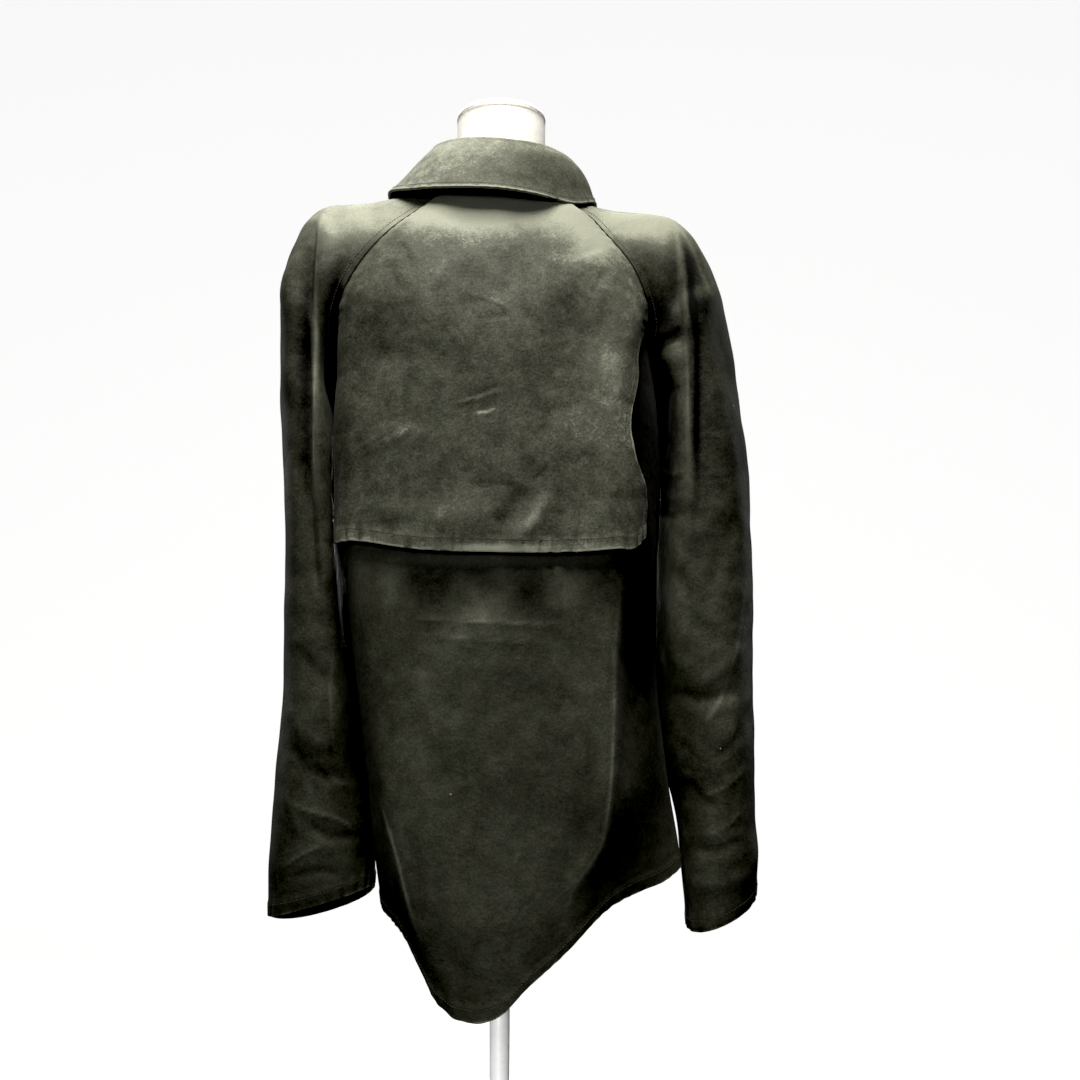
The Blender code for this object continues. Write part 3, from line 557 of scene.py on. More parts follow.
@dataclass(frozen=True)
class Crease:
    """A fold along a path in the camera's frame.

    A depth over 0 is a trough. A lapped fold is low on the right of a path that runs down and high
    on its left where the depth is over 0, and the other way round below 0.
    """

    path: tuple[Place, ...]
    width: float
    depth: float
    profile: Profile = Profile.SOFT
    fade: float = 0.22

    def read(self, places: Grid) -> Values:
        """Millimetres that each place moves outward."""
        side, share = path_reading(self.path, places)
        ends = eased(share / self.fade) * eased((1 - share) / self.fade)
        if self.profile is Profile.SOFT:
            form = np.exp(-((side / self.width) ** 2))
        elif self.profile is Profile.CRISP:
            form = np.exp(-np.abs(side) / self.width)
        else:
            form = np.tanh(side / LAP_STEP) * np.exp(-((side / self.width) ** 2))
        return -self.depth * form * ends


@dataclass(frozen=True)
class Mark:
    """A thin line in the camera's frame: painted highlight and shade at folds, and cracked wax."""

    path: tuple[Place, ...]
    width: float
    tone: float
    fade: float = 0.3

    def read(self, places: Grid) -> Values:
        """How much lighter each place is."""
        side, share = path_reading(self.path, places)
        ends = eased(share / self.fade) * eased((1 - share) / self.fade)
        return self.tone * np.exp(-((side / self.width) ** 2)) * ends


@dataclass(frozen=True)
class Patch:
    """A soft cloud in the camera's frame: painted light and shade, and wax clouds."""

    x: float
    y: float
    long: float
    short: float
    tone: float
    turn: float = 0.0

    def read(self, places: Grid) -> Values:
        """How much lighter each place is."""
        angle = math.radians(self.turn)
        dx = places[..., 0] - self.x
        dy = places[..., 1] - self.y
        along = (dx * math.cos(angle) - dy * math.sin(angle)) / self.long
        beside = (dx * math.sin(angle) + dy * math.cos(angle)) / self.short
        return self.tone * np.exp(-(along**2) - beside**2)


def by_part(kind: type, rows: Mapping[Part, Sequence[tuple]]) -> dict[Part, list]:
    """A table's rows as objects of one kind, part by part."""
    return {part: [kind(*row) for row in group] for part, group in rows.items()}


SOFT, CRISP, LAP = Profile


# Each row: path, width, depth, and where they differ from the usual, profile and fade
CREASES = by_part(Crease, {
    # The long lap from the shoulder, the short one beside it, the hollow at the cape
    Part.LEFT: (
        (((322, 206), (318, 236), (315, 300), (313, 366), (314, 440), (316, 520), (321, 600)),
         15, -4.6, LAP, 0.08),
        (((321, 214), (315, 232), (307, 254)), 5, -2.2),
        (((327, 216), (326, 240), (323, 290)), 7, -1.6),
        (((341, 256), (335, 284), (331, 330), (333, 430)), 8, 8.0, SOFT, 0.30),
        (((329, 264), (336, 251), (352, 250)), 4, 1.6, CRISP),
        (((300, 250), (298, 330), (299, 430), (303, 520)), 9, 2.4),
        (((291, 430), (300, 480), (316, 520)), 7, 1.4),
        (((288, 560), (305, 590), (330, 640)), 9, 1.6),
        (((292, 640), (312, 668), (344, 690)), 8, 1.8),
        (((330, 610), (322, 660), (326, 720), (340, 770)), 9, 2.2),
        (((286, 700), (306, 735), (340, 752)), 8, -1.6),
        (((284, 740), (306, 768), (348, 782)), 7, 2.2),
        (((284, 800), (312, 812), (340, 820), (362, 838)), 4, -1.5, CRISP),
        (((282, 792), (292, 812), (296, 836)), 4, -1.2, CRISP),
        (((306, 824), (332, 838), (360, 836)), 5, 1.6),
        (((276, 872), (306, 852), (334, 842)), 4, -1.2, CRISP),
        (((320, 760), (338, 782), (362, 788)), 4, -1.3, CRISP),
        (((286, 764), (304, 776), (322, 800)), 4, 1.2),
        (((290, 880), (316, 872), (344, 876)), 5, 1.2),
    ),
    # The long lap, the slanted facet, the hollow and pinched fold under the arm
    Part.RIGHT: (
        (((673, 221), (679, 252), (683, 308), (688, 336), (690, 380), (691, 430)),
         15, -4.2, LAP, 0.30),
        (((697, 346), (701, 400), (701, 460), (698, 540)), 9, 3.0, SOFT, 0.3),
        (((676, 228), (690, 248), (702, 272), (714, 310)), 7, -1.6, LAP, 0.45),
        (((638, 252), (646, 272), (656, 300)), 6, -1.6, SOFT, 0.4),
        (((640, 232), (652, 276), (662, 318), (669, 362)), 16, 4.4, SOFT, 0.26),
        (((648, 360), (668, 345), (690, 332)), 5, 2.4, CRISP),
        (((651, 350), (656, 370), (661, 400)), 6, 3.6, SOFT, 0.4),
        (((662, 372), (660, 420), (658, 462)), 10, 6.0),
        (((712, 300), (722, 360), (736, 430)), 10, 1.8),
        (((700, 430), (716, 434), (740, 428)), 3, 1.0, LAP),
        (((656, 462), (670, 474), (688, 470)), 4, -1.3, CRISP),
        (((654, 486), (666, 496), (682, 500)), 4, -1.2, CRISP),
        (((656, 512), (672, 518), (686, 512)), 4, 1.2),
        (((742, 500), (722, 560), (700, 620)), 9, 2.0),
        (((676, 560), (690, 610), (724, 650)), 9, 2.4),
        (((745, 640), (722, 670), (694, 690)), 8, -2.0),
        (((674, 690), (700, 700), (742, 690)), 7, 2.2),
        (((728, 688), (716, 708), (704, 726)), 4, -1.6, CRISP),
        (((748, 700), (736, 740), (712, 762)), 5, 1.5),
        (((680, 742), (694, 756), (716, 768)), 4, 1.4, CRISP),
        (((748, 764), (726, 786), (700, 798)), 4, -1.3, CRISP),
        (((686, 776), (704, 800), (722, 812)), 5, 1.4),
        (((744, 806), (726, 826), (700, 838)), 4, -1.1, CRISP),
        (((690, 846), (714, 852), (744, 838)), 5, 1.5),
        (((690, 880), (715, 886), (750, 872)), 7, -1.5),
    ),
    # Folds from the right shoulder, soft troughs of the upper left, the slanted ridge
    Part.CAPE: (
        (((606, 246), (588, 252), (568, 264), (548, 284)), 5, 1.3, CRISP),
        (((599, 258), (583, 270), (564, 294)), 5, -0.9, SOFT, 0.4),
        (((611, 256), (602, 276), (590, 300), (584, 322)), 5, 1.3, CRISP, 0.4),
        (((446, 236), (456, 260), (468, 290)), 11, 1.7),
        (((400, 236), (396, 262), (404, 300)), 10, 1.3),
        (((372, 262), (364, 286), (352, 306)), 6, -1.6),
        (((372, 268), (362, 290)), 5, 1.8),
        (((432, 212), (480, 222), (540, 216), (580, 208)), 9, 1.5),
        (((459, 289), (485, 297), (513, 309)), 4, -1.0, CRISP),
        (((485, 318), (509, 316)), 3, 1.0),
        (((455, 404), (480, 396), (502, 388)), 4, 1.1, LAP),
        (((469, 488), (495, 484), (520, 486)), 3, 1.2, CRISP),
        (((530, 482), (546, 466)), 3, 1.0, CRISP),
        (((550, 490), (538, 512), (522, 532), (504, 546)), 8, -3.0),
        (((526, 484), (510, 508), (494, 532)), 10, 2.2),
        (((562, 508), (556, 528), (552, 546)), 7, 1.2),
        (((622, 478), (610, 506), (592, 532)), 9, -1.2),
        (((358, 508), (376, 520), (398, 530)), 10, 1.4),
        (((380, 446), (398, 436), (418, 424)), 5, -1.0),
        (((596, 396), (618, 400), (636, 408)), 5, 1.0),
        (((360, 360), (420, 352), (470, 366)), 12, 1.2),
        (((540, 340), (566, 372), (586, 420)), 12, 1.0),
        (((632, 430), (638, 460), (642, 500)), 7, -1.6),
        (((352, 452), (376, 438), (402, 418)), 3, -0.7, CRISP),
        (((386, 402), (398, 396), (412, 380)), 3, -0.6, CRISP),
        (((372, 244), (392, 262), (404, 286)), 5, -1.0),
        (((392, 238), (408, 258), (412, 280)), 5, 1.0),
        (((576, 250), (584, 262), (592, 282)), 4, 1.2),
        (((604, 268), (612, 282), (622, 290)), 5, 1.0),
        (((562, 454), (574, 464), (590, 452)), 4, 0.8),
        (((606, 470), (616, 486), (612, 500)), 4, -0.7),
        (((360, 300), (384, 312), (398, 308)), 4, 0.6),
        (((424, 300), (436, 326), (430, 350)), 4, -0.6),
        (((590, 330), (602, 346), (600, 370)), 4, 0.7),
    ),
    # Thin level creases, the skirt's ridges and the shadow side
    Part.BACK: (
        (((396, 616), (450, 620), (520, 624), (578, 626)), 3.0, -0.9, CRISP),
        (((396, 634), (470, 638), (558, 642)), 3.0, -0.7, CRISP),
        (((470, 560), (480, 590), (474, 620)), 14, 2.4),
        (((548, 560), (560, 592), (556, 622)), 14, -2.0),
        (((420, 650), (436, 690), (462, 726)), 12, 1.6),
        (((625, 557), (614, 643), (611, 740), (606, 805), (598, 846), (572, 890), (560, 940)),
         10, -3.4),
        (((375, 700), (384, 780), (396, 840), (410, 900), (430, 980)), 9, -2.6),
        (((560, 680), (548, 760), (540, 850)), 22, 2.0),
        (((440, 740), (460, 830), (476, 930)), 22, 1.8),
        (((634, 600), (632, 700), (628, 800)), 9, 2.4),
    ),
    Part.COLLAR: (
        (((420, 160), (470, 166), (520, 160)), 8, 1.0),
        (((548, 150), (562, 170), (572, 192)), 6, -1.0),
        (((440, 148), (452, 168), (448, 182)), 6, 0.8),
    ),
})

# Each row: path, width and tone. Most are painted highlights on crease tops and fold edges, and
# painted shadow beside folds and in gaps, with lighter cracked wax along creases
MARKS = by_part(Mark, {
    Part.LEFT: (
        (((284, 800), (312, 812), (340, 820), (362, 838)), 1.4, 0.70),
        (((276, 872), (306, 852), (334, 842)), 1.4, 0.55),
        (((320, 760), (338, 782), (362, 788)), 1.4, 0.55),
        (((333, 640), (331, 700), (334, 750)), 2.0, 0.45),
        # Painted highlight on the long lap's edge, painted shade beside it, painted shadow down the
        # gap at the cape's edge
        (((323, 212), (318, 262), (315, 330), (314, 420), (316, 540)), 2.4, 1.50),
        (((315, 216), (309, 262), (306, 330), (305, 420), (308, 540)), 8.0, -0.60),
        (((340, 258), (335, 290), (335, 360), (336, 440), (336, 560)), 4.5, -2.20),
        (((336, 300), (336, 380), (336, 460), (337, 560)), 2.2, -3.00),
        (((300, 806), (330, 814), (352, 824)), 2.0, 0.30),
    ),
    Part.RIGHT: (
        (((728, 688), (716, 708), (704, 726)), 3.0, 0.75),
        (((748, 764), (726, 786), (700, 798)), 1.4, 0.50),
        (((744, 806), (726, 826), (700, 838)), 1.4, 0.50),
        (((748, 560), (738, 640), (724, 690)), 1.6, 0.45),
        (((656, 462), (670, 474), (688, 470)), 1.6, 0.60),
        (((702, 474), (716, 471), (730, 474)), 1.6, 0.40),
        (((676, 226), (690, 248), (710, 296)), 1.8, 0.50),
        # Painted shade beside the long lap and painted highlight on its edge; painted shade and
        # highlight at the facet
        (((682, 236), (689, 285), (694, 318), (696, 366), (696, 437), (698, 520)), 4.5, -0.95),
        (((676, 226), (681, 262), (685, 300), (688, 366), (688, 437), (690, 500)), 2.6, 0.75),
        (((654, 343), (668, 334), (686, 322)), 4.0, -0.70),
        (((655, 356), (668, 347), (688, 335)), 1.6, 0.60),
        (((674, 224), (679, 252), (683, 308), (688, 334)), 1.6, 0.40),
        (((726, 706), (740, 694)), 1.8, 0.35),
    ),
    Part.CAPE: (
        (((459, 289), (485, 297), (513, 309)), 1.6, 0.55),
        (((485, 319), (509, 317)), 1.6, -0.4),
        (((471, 414), (485, 412), (499, 408)), 1.2, 1.7),
        (((455, 405), (468, 402), (480, 397)), 1.8, -0.55),
        (((459, 401), (480, 396), (502, 387)), 1.8, 0.35),
        (((378, 444), (398, 434), (416, 424)), 2.6, 0.30),
        (((470, 488), (495, 485), (519, 486)), 1.5, -0.5),
        (((470, 486), (495, 483), (510, 483)), 1.6, 0.30),
        (((530, 483), (546, 466)), 1.8, -0.45),
        (((414, 483), (427, 478)), 1.8, 0.40),
        (((590, 500), (604, 505)), 1.6, 0.40),
        (((432, 520), (446, 514)), 2.0, 0.35),
        (((562, 352), (580, 346)), 1.8, 0.35),
        (((610, 420), (632, 414)), 1.6, 0.30),
        (((404, 342), (420, 348)), 1.8, 0.30),
        (((352, 372), (362, 378)), 1.6, 0.40),
    ),
    Part.BACK: (
        (((384, 614), (430, 619), (492, 622), (578, 626)), 1.4, 0.50),
        (((392, 634), (450, 637), (500, 641), (548, 643)), 1.4, 0.50),
        # Painted highlight along the skirt's ridges
        (((625, 557), (614, 643), (611, 740), (606, 805), (598, 846), (572, 890), (560, 940)),
         2.0, 0.75),
        (((374, 780), (386, 812), (398, 850), (410, 900), (424, 950)), 2.2, 1.00),
        (((515, 850), (520, 864)), 1.6, 0.45),
        (((566, 888), (576, 878)), 1.6, 0.30),
    ),
})

# Each row: middle, reach along and beside, tone, and any turn in degrees. Most are painted light and
# shade where light falls or shadow lies; a few are wax clouds
PATCHES = by_part(Patch, {
    # Painted highlight on the lit shoulder, painted shadow in the hollow beside the cape
    Part.LEFT: (
        (368, 220, 64, 24, 1.20), (330, 240, 14, 34, 0.40), (338, 324, 9, 36, -2.00),
        (324, 450, 8, 90, 0.15), (340, 262, 9, 10, -0.60), (290, 330, 8, 110, 0.16),
        (306, 600, 30, 90, 0.30), (318, 690, 30, 40, 0.22), (330, 800, 30, 16, 0.20),
        (310, 850, 40, 60, 0.45),
    ),
    # Painted highlight on the lit shoulder and the facet, painted shade above the facet, black
    # painted shadow in the gap beside the cape
    Part.RIGHT: (
        (634, 224, 54, 22, 1.50), (664, 246, 14, 24, 0.50), (706, 262, 8, 24, 0.55, 24),
        (689, 268, 7, 24, -0.55, 12), (675, 352, 15, 8, 1.20, 34), (664, 314, 18, 22, -0.90),
        (698, 300, 16, 16, -0.75), (720, 420, 24, 60, -0.14), (648, 415, 17, 44, -7.00),
        (648, 500, 8, 60, -1.00), (668, 590, 16, 90, 0.40), (682, 450, 11, 80, 0.55),
        (664, 482, 9, 7, -0.90, 20), (662, 506, 9, 6, -0.90, 10), (646, 372, 9, 30, -3.00),
        (666, 486, 16, 24, -0.50), (724, 700, 20, 40, 0.25, 30), (716, 600, 20, 40, 0.10),
        (712, 850, 34, 70, 0.35),
    ),
    # Painted light below the collar where its shadow falls, on the lit hem band and the turned right
    # side, painted highlight and shade at the slanted ridge and folds
    Part.CAPE: (
        (480, 206, 90, 14, 1.50), (480, 226, 90, 16, 0.60), (590, 232, 34, 30, 0.60),
        (420, 270, 26, 40, 0.16), (455, 272, 16, 26, -0.34, 10), (396, 256, 12, 22, -0.20),
        (584, 254, 22, 8, 0.60, 22), (566, 292, 16, 24, -0.30, -30), (598, 300, 10, 24, -0.28),
        (631, 302, 8, 20, 0.42), (612, 372, 34, 80, 0.86), (450, 505, 70, 22, 0.60),
        (500, 300, 40, 30, 0.10), (380, 350, 30, 30, -0.12), (440, 370, 34, 24, -0.10),
        (578, 432, 24, 15, 0.34), (580, 456, 18, 8, -0.24), (502, 452, 20, 9, 0.26),
        (528, 463, 18, 11, -0.30, 20), (448, 440, 24, 14, -0.10, 20), (374, 520, 22, 12, -0.42),
        (372, 497, 16, 8, 0.20), (460, 508, 34, 10, 0.22, 8), (534, 518, 26, 9, 0.90, 54),
        (508, 510, 22, 9, -0.60, 54), (560, 530, 10, 20, -0.20), (596, 516, 26, 16, 0.26, 40),
        (626, 510, 12, 30, -0.26), (500, 548, 90, 6, 1.30), (615, 549, 30, 5, 0.40),
        (370, 540, 30, 5, 0.40), (560, 220, 50, 20, 0.20), (345, 450, 10, 80, -0.06),
    ),
    # Painted light where the cape's hem shades the back, scalloped painted shadow below that hem,
    # painted shadow down the shaded flank and black in the gap by the right sleeve, painted light on
    # the left flank
    Part.BACK: (
        (640, 780, 26, 60, 0.70), (470, 560, 110, 9, 1.00), (430, 580, 28, 20, -0.55),
        (528, 592, 19, 26, -0.60), (388, 585, 12, 26, 0.50), (486, 602, 16, 12, 0.40),
        (566, 592, 15, 24, 0.50), (486, 616, 44, 22, 0.60), (360, 700, 16, 160, 0.40),
        (396, 590, 14, 34, 0.45), (440, 650, 40, 16, 0.40, 35), (564, 590, 26, 22, 0.20),
        (500, 600, 120, 40, -0.35), (606, 578, 14, 22, -0.45), (430, 690, 40, 40, 0.20),
        (520, 650, 60, 20, 0.10), (486, 880, 80, 90, 0.35), (606, 800, 10, 60, 0.22),
        (584, 870, 12, 30, 0.20, -30), (392, 850, 10, 60, 0.22, 10), (560, 760, 26, 80, -0.16),
        (650, 610, 22, 70, -2.60), (646, 760, 26, 90, -0.50), (658, 440, 24, 120, -5.00),
        (352, 640, 10, 110, 0.45),
    ),
    # Painted light along the collar's lit top, a little painted shade below it
    Part.COLLAR: (
        (470, 150, 60, 10, 0.30), (520, 176, 60, 8, -0.10), (570, 170, 14, 24, 0.15),
    ),
})


@dataclass(frozen=True)
class Slack:
    """Gentle unevenness of hanging cloth: crossed waves with fixed directions."""

    seed: int
    height: float
    length: float
    count: int = 9

    def at(self, grid: Grid) -> Values:
        """Metres of shift at each point."""
        dice = np.random.default_rng(self.seed)
        total = np.zeros(grid.shape[:2])
        for _ in range(self.count):
            way = dice.normal(size=3) * np.array([1.0, 1.0, 0.55])
            way *= 2 * math.pi / (self.length * dice.uniform(0.7, 1.5)) / np.linalg.norm(way)
            total += np.sin(grid @ way + dice.uniform(0, 2 * math.pi))
        return total * self.height / math.sqrt(self.count)


# ---- shader writing


def math_method(operation: str, turned: bool = False) -> Callable[..., "Value"]:
    """A method that adds a Math node.

    Args:
        operation: The node's operation.
        turned: Whether the other number comes first.

    Returns:
        The method, which gives the node's output.
    """

    def method(self: "Value", *others: Any) -> "Value":
        """A Math node on this and any other number."""
        given = (*others, self) if turned else (self, *others)
        return self.shader.add("ShaderNodeMath", {"operation": operation}, dict(enumerate(given)))

    return method


class Value:
    """A shader number that adds Math nodes as it is used in expressions."""

    __add__ = __radd__ = math_method("ADD")
    __sub__ = math_method("SUBTRACT")
    __rsub__ = math_method("SUBTRACT", turned=True)
    __mul__ = __rmul__ = math_method("MULTIPLY")
    __abs__ = math_method("ABSOLUTE")
    sine = math_method("SINE")

    def __init__(self, shader: "Shader", socket: NodeSocket) -> None:
        """Keep the socket and the shader that it belongs to."""
        self.shader = shader
        self.socket = socket

    def wave(self, length: float) -> "Value":
        """The sine of this over a wavelength."""
        return (self * (2 * math.pi / length)).sine()

    def ramp(self, low: float, high: float, at_low: float = 0.0, at_high: float = 1.0) -> "Value":
        """A soft step from at_low to at_high between two values."""
        settings = {"interpolation_type": "SMOOTHSTEP"}
        given = {0: self, 1: low, 2: high, 3: at_low, 4: at_high}
        return self.shader.add("ShaderNodeMapRange", settings, given)


class Shader:
    """A material's node tree."""

    def __init__(self, name: str) -> None:
        """Start a material that holds a Principled shader alone."""
        self.material = bpy.data.materials.new(name)
        self.material.use_nodes = True
        self.nodes = self.material.node_tree.nodes
        self.links = self.material.node_tree.links
        self.principled = self.nodes["Principled BSDF"]

    def add(
        self,
        kind: str,
        settings: Mapping[str, Any] | None = None,
        given: Mapping[Any, Any] | None = None,
        output: Any = 0,
    ) -> Value:
        """Add a node.

        Args:
            kind: The node's type.
            settings: Its own settings, and "stops" for a colour ramp.
            given: Values or links of its sockets, by name or number.
            output: The socket to return, by name or number.

        Returns:
            The output as a Value.
        """
        node = self.nodes.new(kind)
        for name, value in (settings or {}).items():
            if name == "stops":
                self._stops(node.color_ramp, value)
            else:
                setattr(node, name, value)
        for name, value in (given or {}).items():
            self.give(node.inputs[name], value)
        return Value(self, node.outputs[output])

    def give(self, socket: NodeSocket, value: Any) -> None:
        """Set a socket, or link a Value to it."""
        if isinstance(value, Value):
            self.links.new(value.socket, socket)
        else:
            socket.default_value = value

    @staticmethod
    def _stops(ramp: bpy.types.ColorRamp, stops: Sequence[tuple[float, Colour]]) -> None:
        """Set a colour ramp's stops."""
        while len(ramp.elements) < len(stops):
            ramp.elements.new(1.0)
        for element, (place, colour) in zip(ramp.elements, stops):
            element.position = place
            element.color = (*colour, 1.0)

    def attribute(self, name: str) -> Value:
        """A number stored on the mesh."""
        return self.add("ShaderNodeAttribute", {"attribute_name": name}, output="Fac")

    def place(self) -> Value:
        """Object coordinates."""
        return self.add("ShaderNodeTexCoord", output="Object")

    def noise(
        self, place: Value, scale: float, detail: float = 3.0, rough: float = 0.55,
        distortion: float = 0.0, **more: Any,
    ) -> Value:
        """A noise texture's number, centred on 0.5."""
        given = {"Vector": place, "Scale": scale, "Detail": detail, "Roughness": rough}
        return self.add("ShaderNodeTexNoise", more, given | {"Distortion": distortion})

    def mix(self, factor: Value, first: Value | Colour, second: Value | Colour) -> Value:
        """A mix of two colours."""
        first, second = ((*c, 1.0) if isinstance(c, tuple) else c for c in (first, second))
        return self.add("ShaderNodeMix", {"data_type": "RGBA"}, {0: factor, 6: first, 7: second}, 2)

    def bump(self, height: Value, below: Value | None = None) -> Value:
        """A bump from a height in metres, over another."""
        given = {"Strength": 1.0, "Distance": 1.0, "Height": height}
        if below is not None:
            given["Normal"] = below
        return self.add("ShaderNodeBump", None, given)

    def finish(self, **sockets: Any) -> Material:
        """Set the Principled shader's sockets, named with underscores, and return the material."""
        for name, value in sockets.items():
            self.give(self.principled.inputs[name.replace("_", " ")], value)
        return self.material


@dataclass(frozen=True)
class WaxedCotton:
    """Cotton proofed with wax: cloudy, cracked, with painted light and shade, and an uneven sheen."""

    name: str
    # Tone stops: the two darkest mostly painted shade and shadow, the two lightest worn wax and
    # painted light
    black: Colour = (0.0009, 0.0009, 0.0006)
    deep: Colour = (0.0120, 0.0122, 0.0082)
    field_colour: Colour = (0.0320, 0.0328, 0.0238)
    worn_and_painted_light: Colour = (0.0640, 0.0652, 0.0505)
    rubbed: Colour = (0.1760, 0.1800, 0.1410)
    lint: Colour = (0.42, 0.42, 0.38)
    lift: float = 0.0
    crumple: float = 0.0009
    crumple_scale: float = 26.0
    shine: float = 0.50
    streak_turn: float = -0.75
    mottle: float = 1.0
    weave: float = 0.0011
    cloud_gain: float = 0.42
    mark_gain: float = 0.45
    edge_gain: float = 0.66
    middle: float = 0.425

    def material(self) -> Material:
        """The finish as a material."""
        shader = Shader(self.name)
        place = shader.place()
        cloud = shader.noise(place, 11.0, 5.0, 0.62)
        fleck = shader.noise(place, 64.0, 4.0, 0.66)
        grain = shader.noise(place, 420.0, 3.0, 0.6)
        streak = self._streaks(shader, place)
        hem = shader.attribute("hem")
        seam = shader.attribute("seam")
        # The stored cloud and mark are mostly painted light and shade: shadow in gaps, in creases and
        # under the cape, highlights on lit tops and fold edges; the rest is dust, lost wax and wax
        # clouds
        tone = shader.attribute("cloud") * self.cloud_gain
        tone = tone + shader.attribute("mark") * self.mark_gain
        shade = tone.ramp(-0.45, -0.12, 1.0, 0.0)
        mottle = (cloud - 0.5) * 0.80 + (fleck - 0.5) * 0.72 + (grain - 0.5) * 0.66
        tone = tone + mottle * tone.ramp(0.10, 0.50, self.mottle, 0.40)
        tone = tone + streak * cloud.ramp(0.38, 0.60) * (0.44 * self.mottle)
        # Hems and the cape's free edges lighter: edge wear, and a painted highlight along the cape's
        # edges
        edge = hem.ramp(0.0, 0.0032, 1.0, 0.0) * fleck.ramp(0.30, 0.56)
        tone = tone + edge * self.edge_gain + (self.middle + self.lift)
        tone = tone - seam.ramp(0.0006, 0.0020, 1.6, 0.0)
        # The darkest stops give painted shade, black for painted shadow in gaps; the lightest give
        # worn wax and painted light on lit tops and highlights
        stops = [
            (0.0, self.black), (0.20, self.deep), (0.46, self.field_colour), (0.74, self.worn_and_painted_light),
            (1.0, self.rubbed),
        ]
        colour = shader.add("ShaderNodeValToRGB", {"stops": stops}, {0: tone})
        colour = shader.mix(self._lint(shader, place), colour, self.lint)
        rough = self.shine + 0.22 - cloud.ramp(0.30, 0.70, 0.0, 0.16)
        rough = rough - tone.ramp(0.5, 1.1, 0.0, 0.04)
        return shader.finish(
            Base_Color=colour,
            Roughness=rough + (fleck - 0.5) * 0.25 + shade * 0.35,
            Normal=self._relief(shader, place, cloud, fleck, grain, streak, hem, seam),
            Sheen_Weight=0.012,
            Sheen_Roughness=0.45,
            Specular_IOR_Level=0.08,
        )

    def _streaks(self, shader: Shader, place: Value) -> Value:
        """Fine creases that run aslant, as narrow ridges."""
        slanted = {"Rotation": (0.0, self.streak_turn, 0.0), "Scale": (1.0, 1.0, 3.2)}
        given = {"Vector": place} | slanted
        aslant = shader.add("ShaderNodeMapping", {"vector_type": "TEXTURE"}, given)
        ridge = shader.noise(aslant, 48.0, 4.0, 0.55, distortion=0.6, noise_type=RIDGED)
        return ridge.ramp(1.00, 1.55)

    @staticmethod
    def _lint(shader: Shader, place: Value) -> Value:
        """How much of each point is a pale speck."""
        given = {"Vector": place, "Scale": 46.0}
        near = shader.add("ShaderNodeTexVoronoi", {"feature": "F1"}, given)
        pick = shader.add("ShaderNodeTexVoronoi", {"feature": "F1"}, given, "Color")
        chosen = shader.add("ShaderNodeSeparateColor", None, {0: pick}).ramp(0.935, 0.945)
        return near.ramp(0.024, 0.046, 1.0, 0.0) * chosen * 0.85

    def _relief(
        self, shader: Shader, place: Value, cloud: Value, fleck: Value, grain: Value, streak: Value,
        hem: Value, seam: Value,
    ) -> Value:
        """The bump of weave, fine crumples and stitched rows."""
        crumple = shader.noise(place, self.crumple_scale, 5.0, 0.58, noise_type=RIDGED)
        soft = shader.noise(place, self.crumple_scale * 0.45, 3.0, 0.5)
        stitched = abs(hem - HEM_ROW).ramp(0.0, 0.0011, -1.0, 0.0)
        stitched = stitched + abs(seam - SEAM_ROW).ramp(0.0, 0.0008, -0.6, 0.0)
        lapped = seam.ramp(0.0, 0.0010) * seam.ramp(SEAM_ROW, 0.0120, 1.0, 0.0)
        uv = shader.add("ShaderNodeUVMap", {"uv_map": "cloth"})
        across = shader.add("ShaderNodeSeparateXYZ", None, {0: uv}, 0)
        along = shader.add("ShaderNodeSeparateXYZ", None, {0: uv}, 1)
        weave = across.wave(self.weave) * along.wave(self.weave)
        fine = shader.bump(weave * 0.00002 + fleck * 0.0009 + grain * 0.00034)
        height = crumple * self.crumple * cloud.ramp(0.25, 0.7, 0.5, 1.2)
        height = height + soft * (self.crumple * 2.0) + streak * 0.0011
        height = height + stitched * 0.00032 + lapped * 0.0004
        return shader.bump(height, fine)


@dataclass(frozen=True)
class Thread:
    """Dull sewing thread."""

    name: str = "sewing_thread"
    colour: Colour = (0.020, 0.019, 0.012)

    def material(self) -> Material:
        """The finish as a material."""
        shader = Shader(self.name)
        place = shader.place()
        fibre = shader.noise(place, 900.0, 2.0)
        light = tuple(2.2 * part for part in self.colour)
        colour = shader.mix(fibre, self.colour, light)
        return shader.finish(Base_Color=colour, Roughness=0.75, Sheen_Weight=0.1)


@dataclass(frozen=True)
class Linen:
    """Off-white linen stretched over the form."""

    name: str
    light: Colour = (0.80, 0.785, 0.75)
    dark: Colour = (0.58, 0.55, 0.50)

    def material(self) -> Material:
        """The finish as a material."""
        shader = Shader(self.name)
        place = shader.place()
        level, upright = (
            shader.add(
                "ShaderNodeMapping", {"vector_type": "POINT"}, {"Vector": place, "Scale": scale}
            )
            for scale in ((1.0, 1.0, 0.12), (0.15, 0.15, 1.0))
        )
        warp = shader.noise(level, 700.0, 2.0)
        weft = shader.noise(upright, 700.0, 2.0)
        slub = shader.noise(upright, 160.0, 3.0)
        grime = shader.noise(place, 22.0, 4.0)
        threads = (warp + weft) * 0.5
        tone = threads.ramp(0.34, 0.66) * 0.55 + slub.ramp(0.35, 0.65) * 0.25 + grime * 0.3
        colour = shader.mix(tone, self.dark, self.light)
        relief = shader.bump(threads * 0.00025 + slub * 0.0002)
        return shader.finish(Base_Color=colour, Roughness=0.92, Normal=relief, Sheen_Weight=0.15)


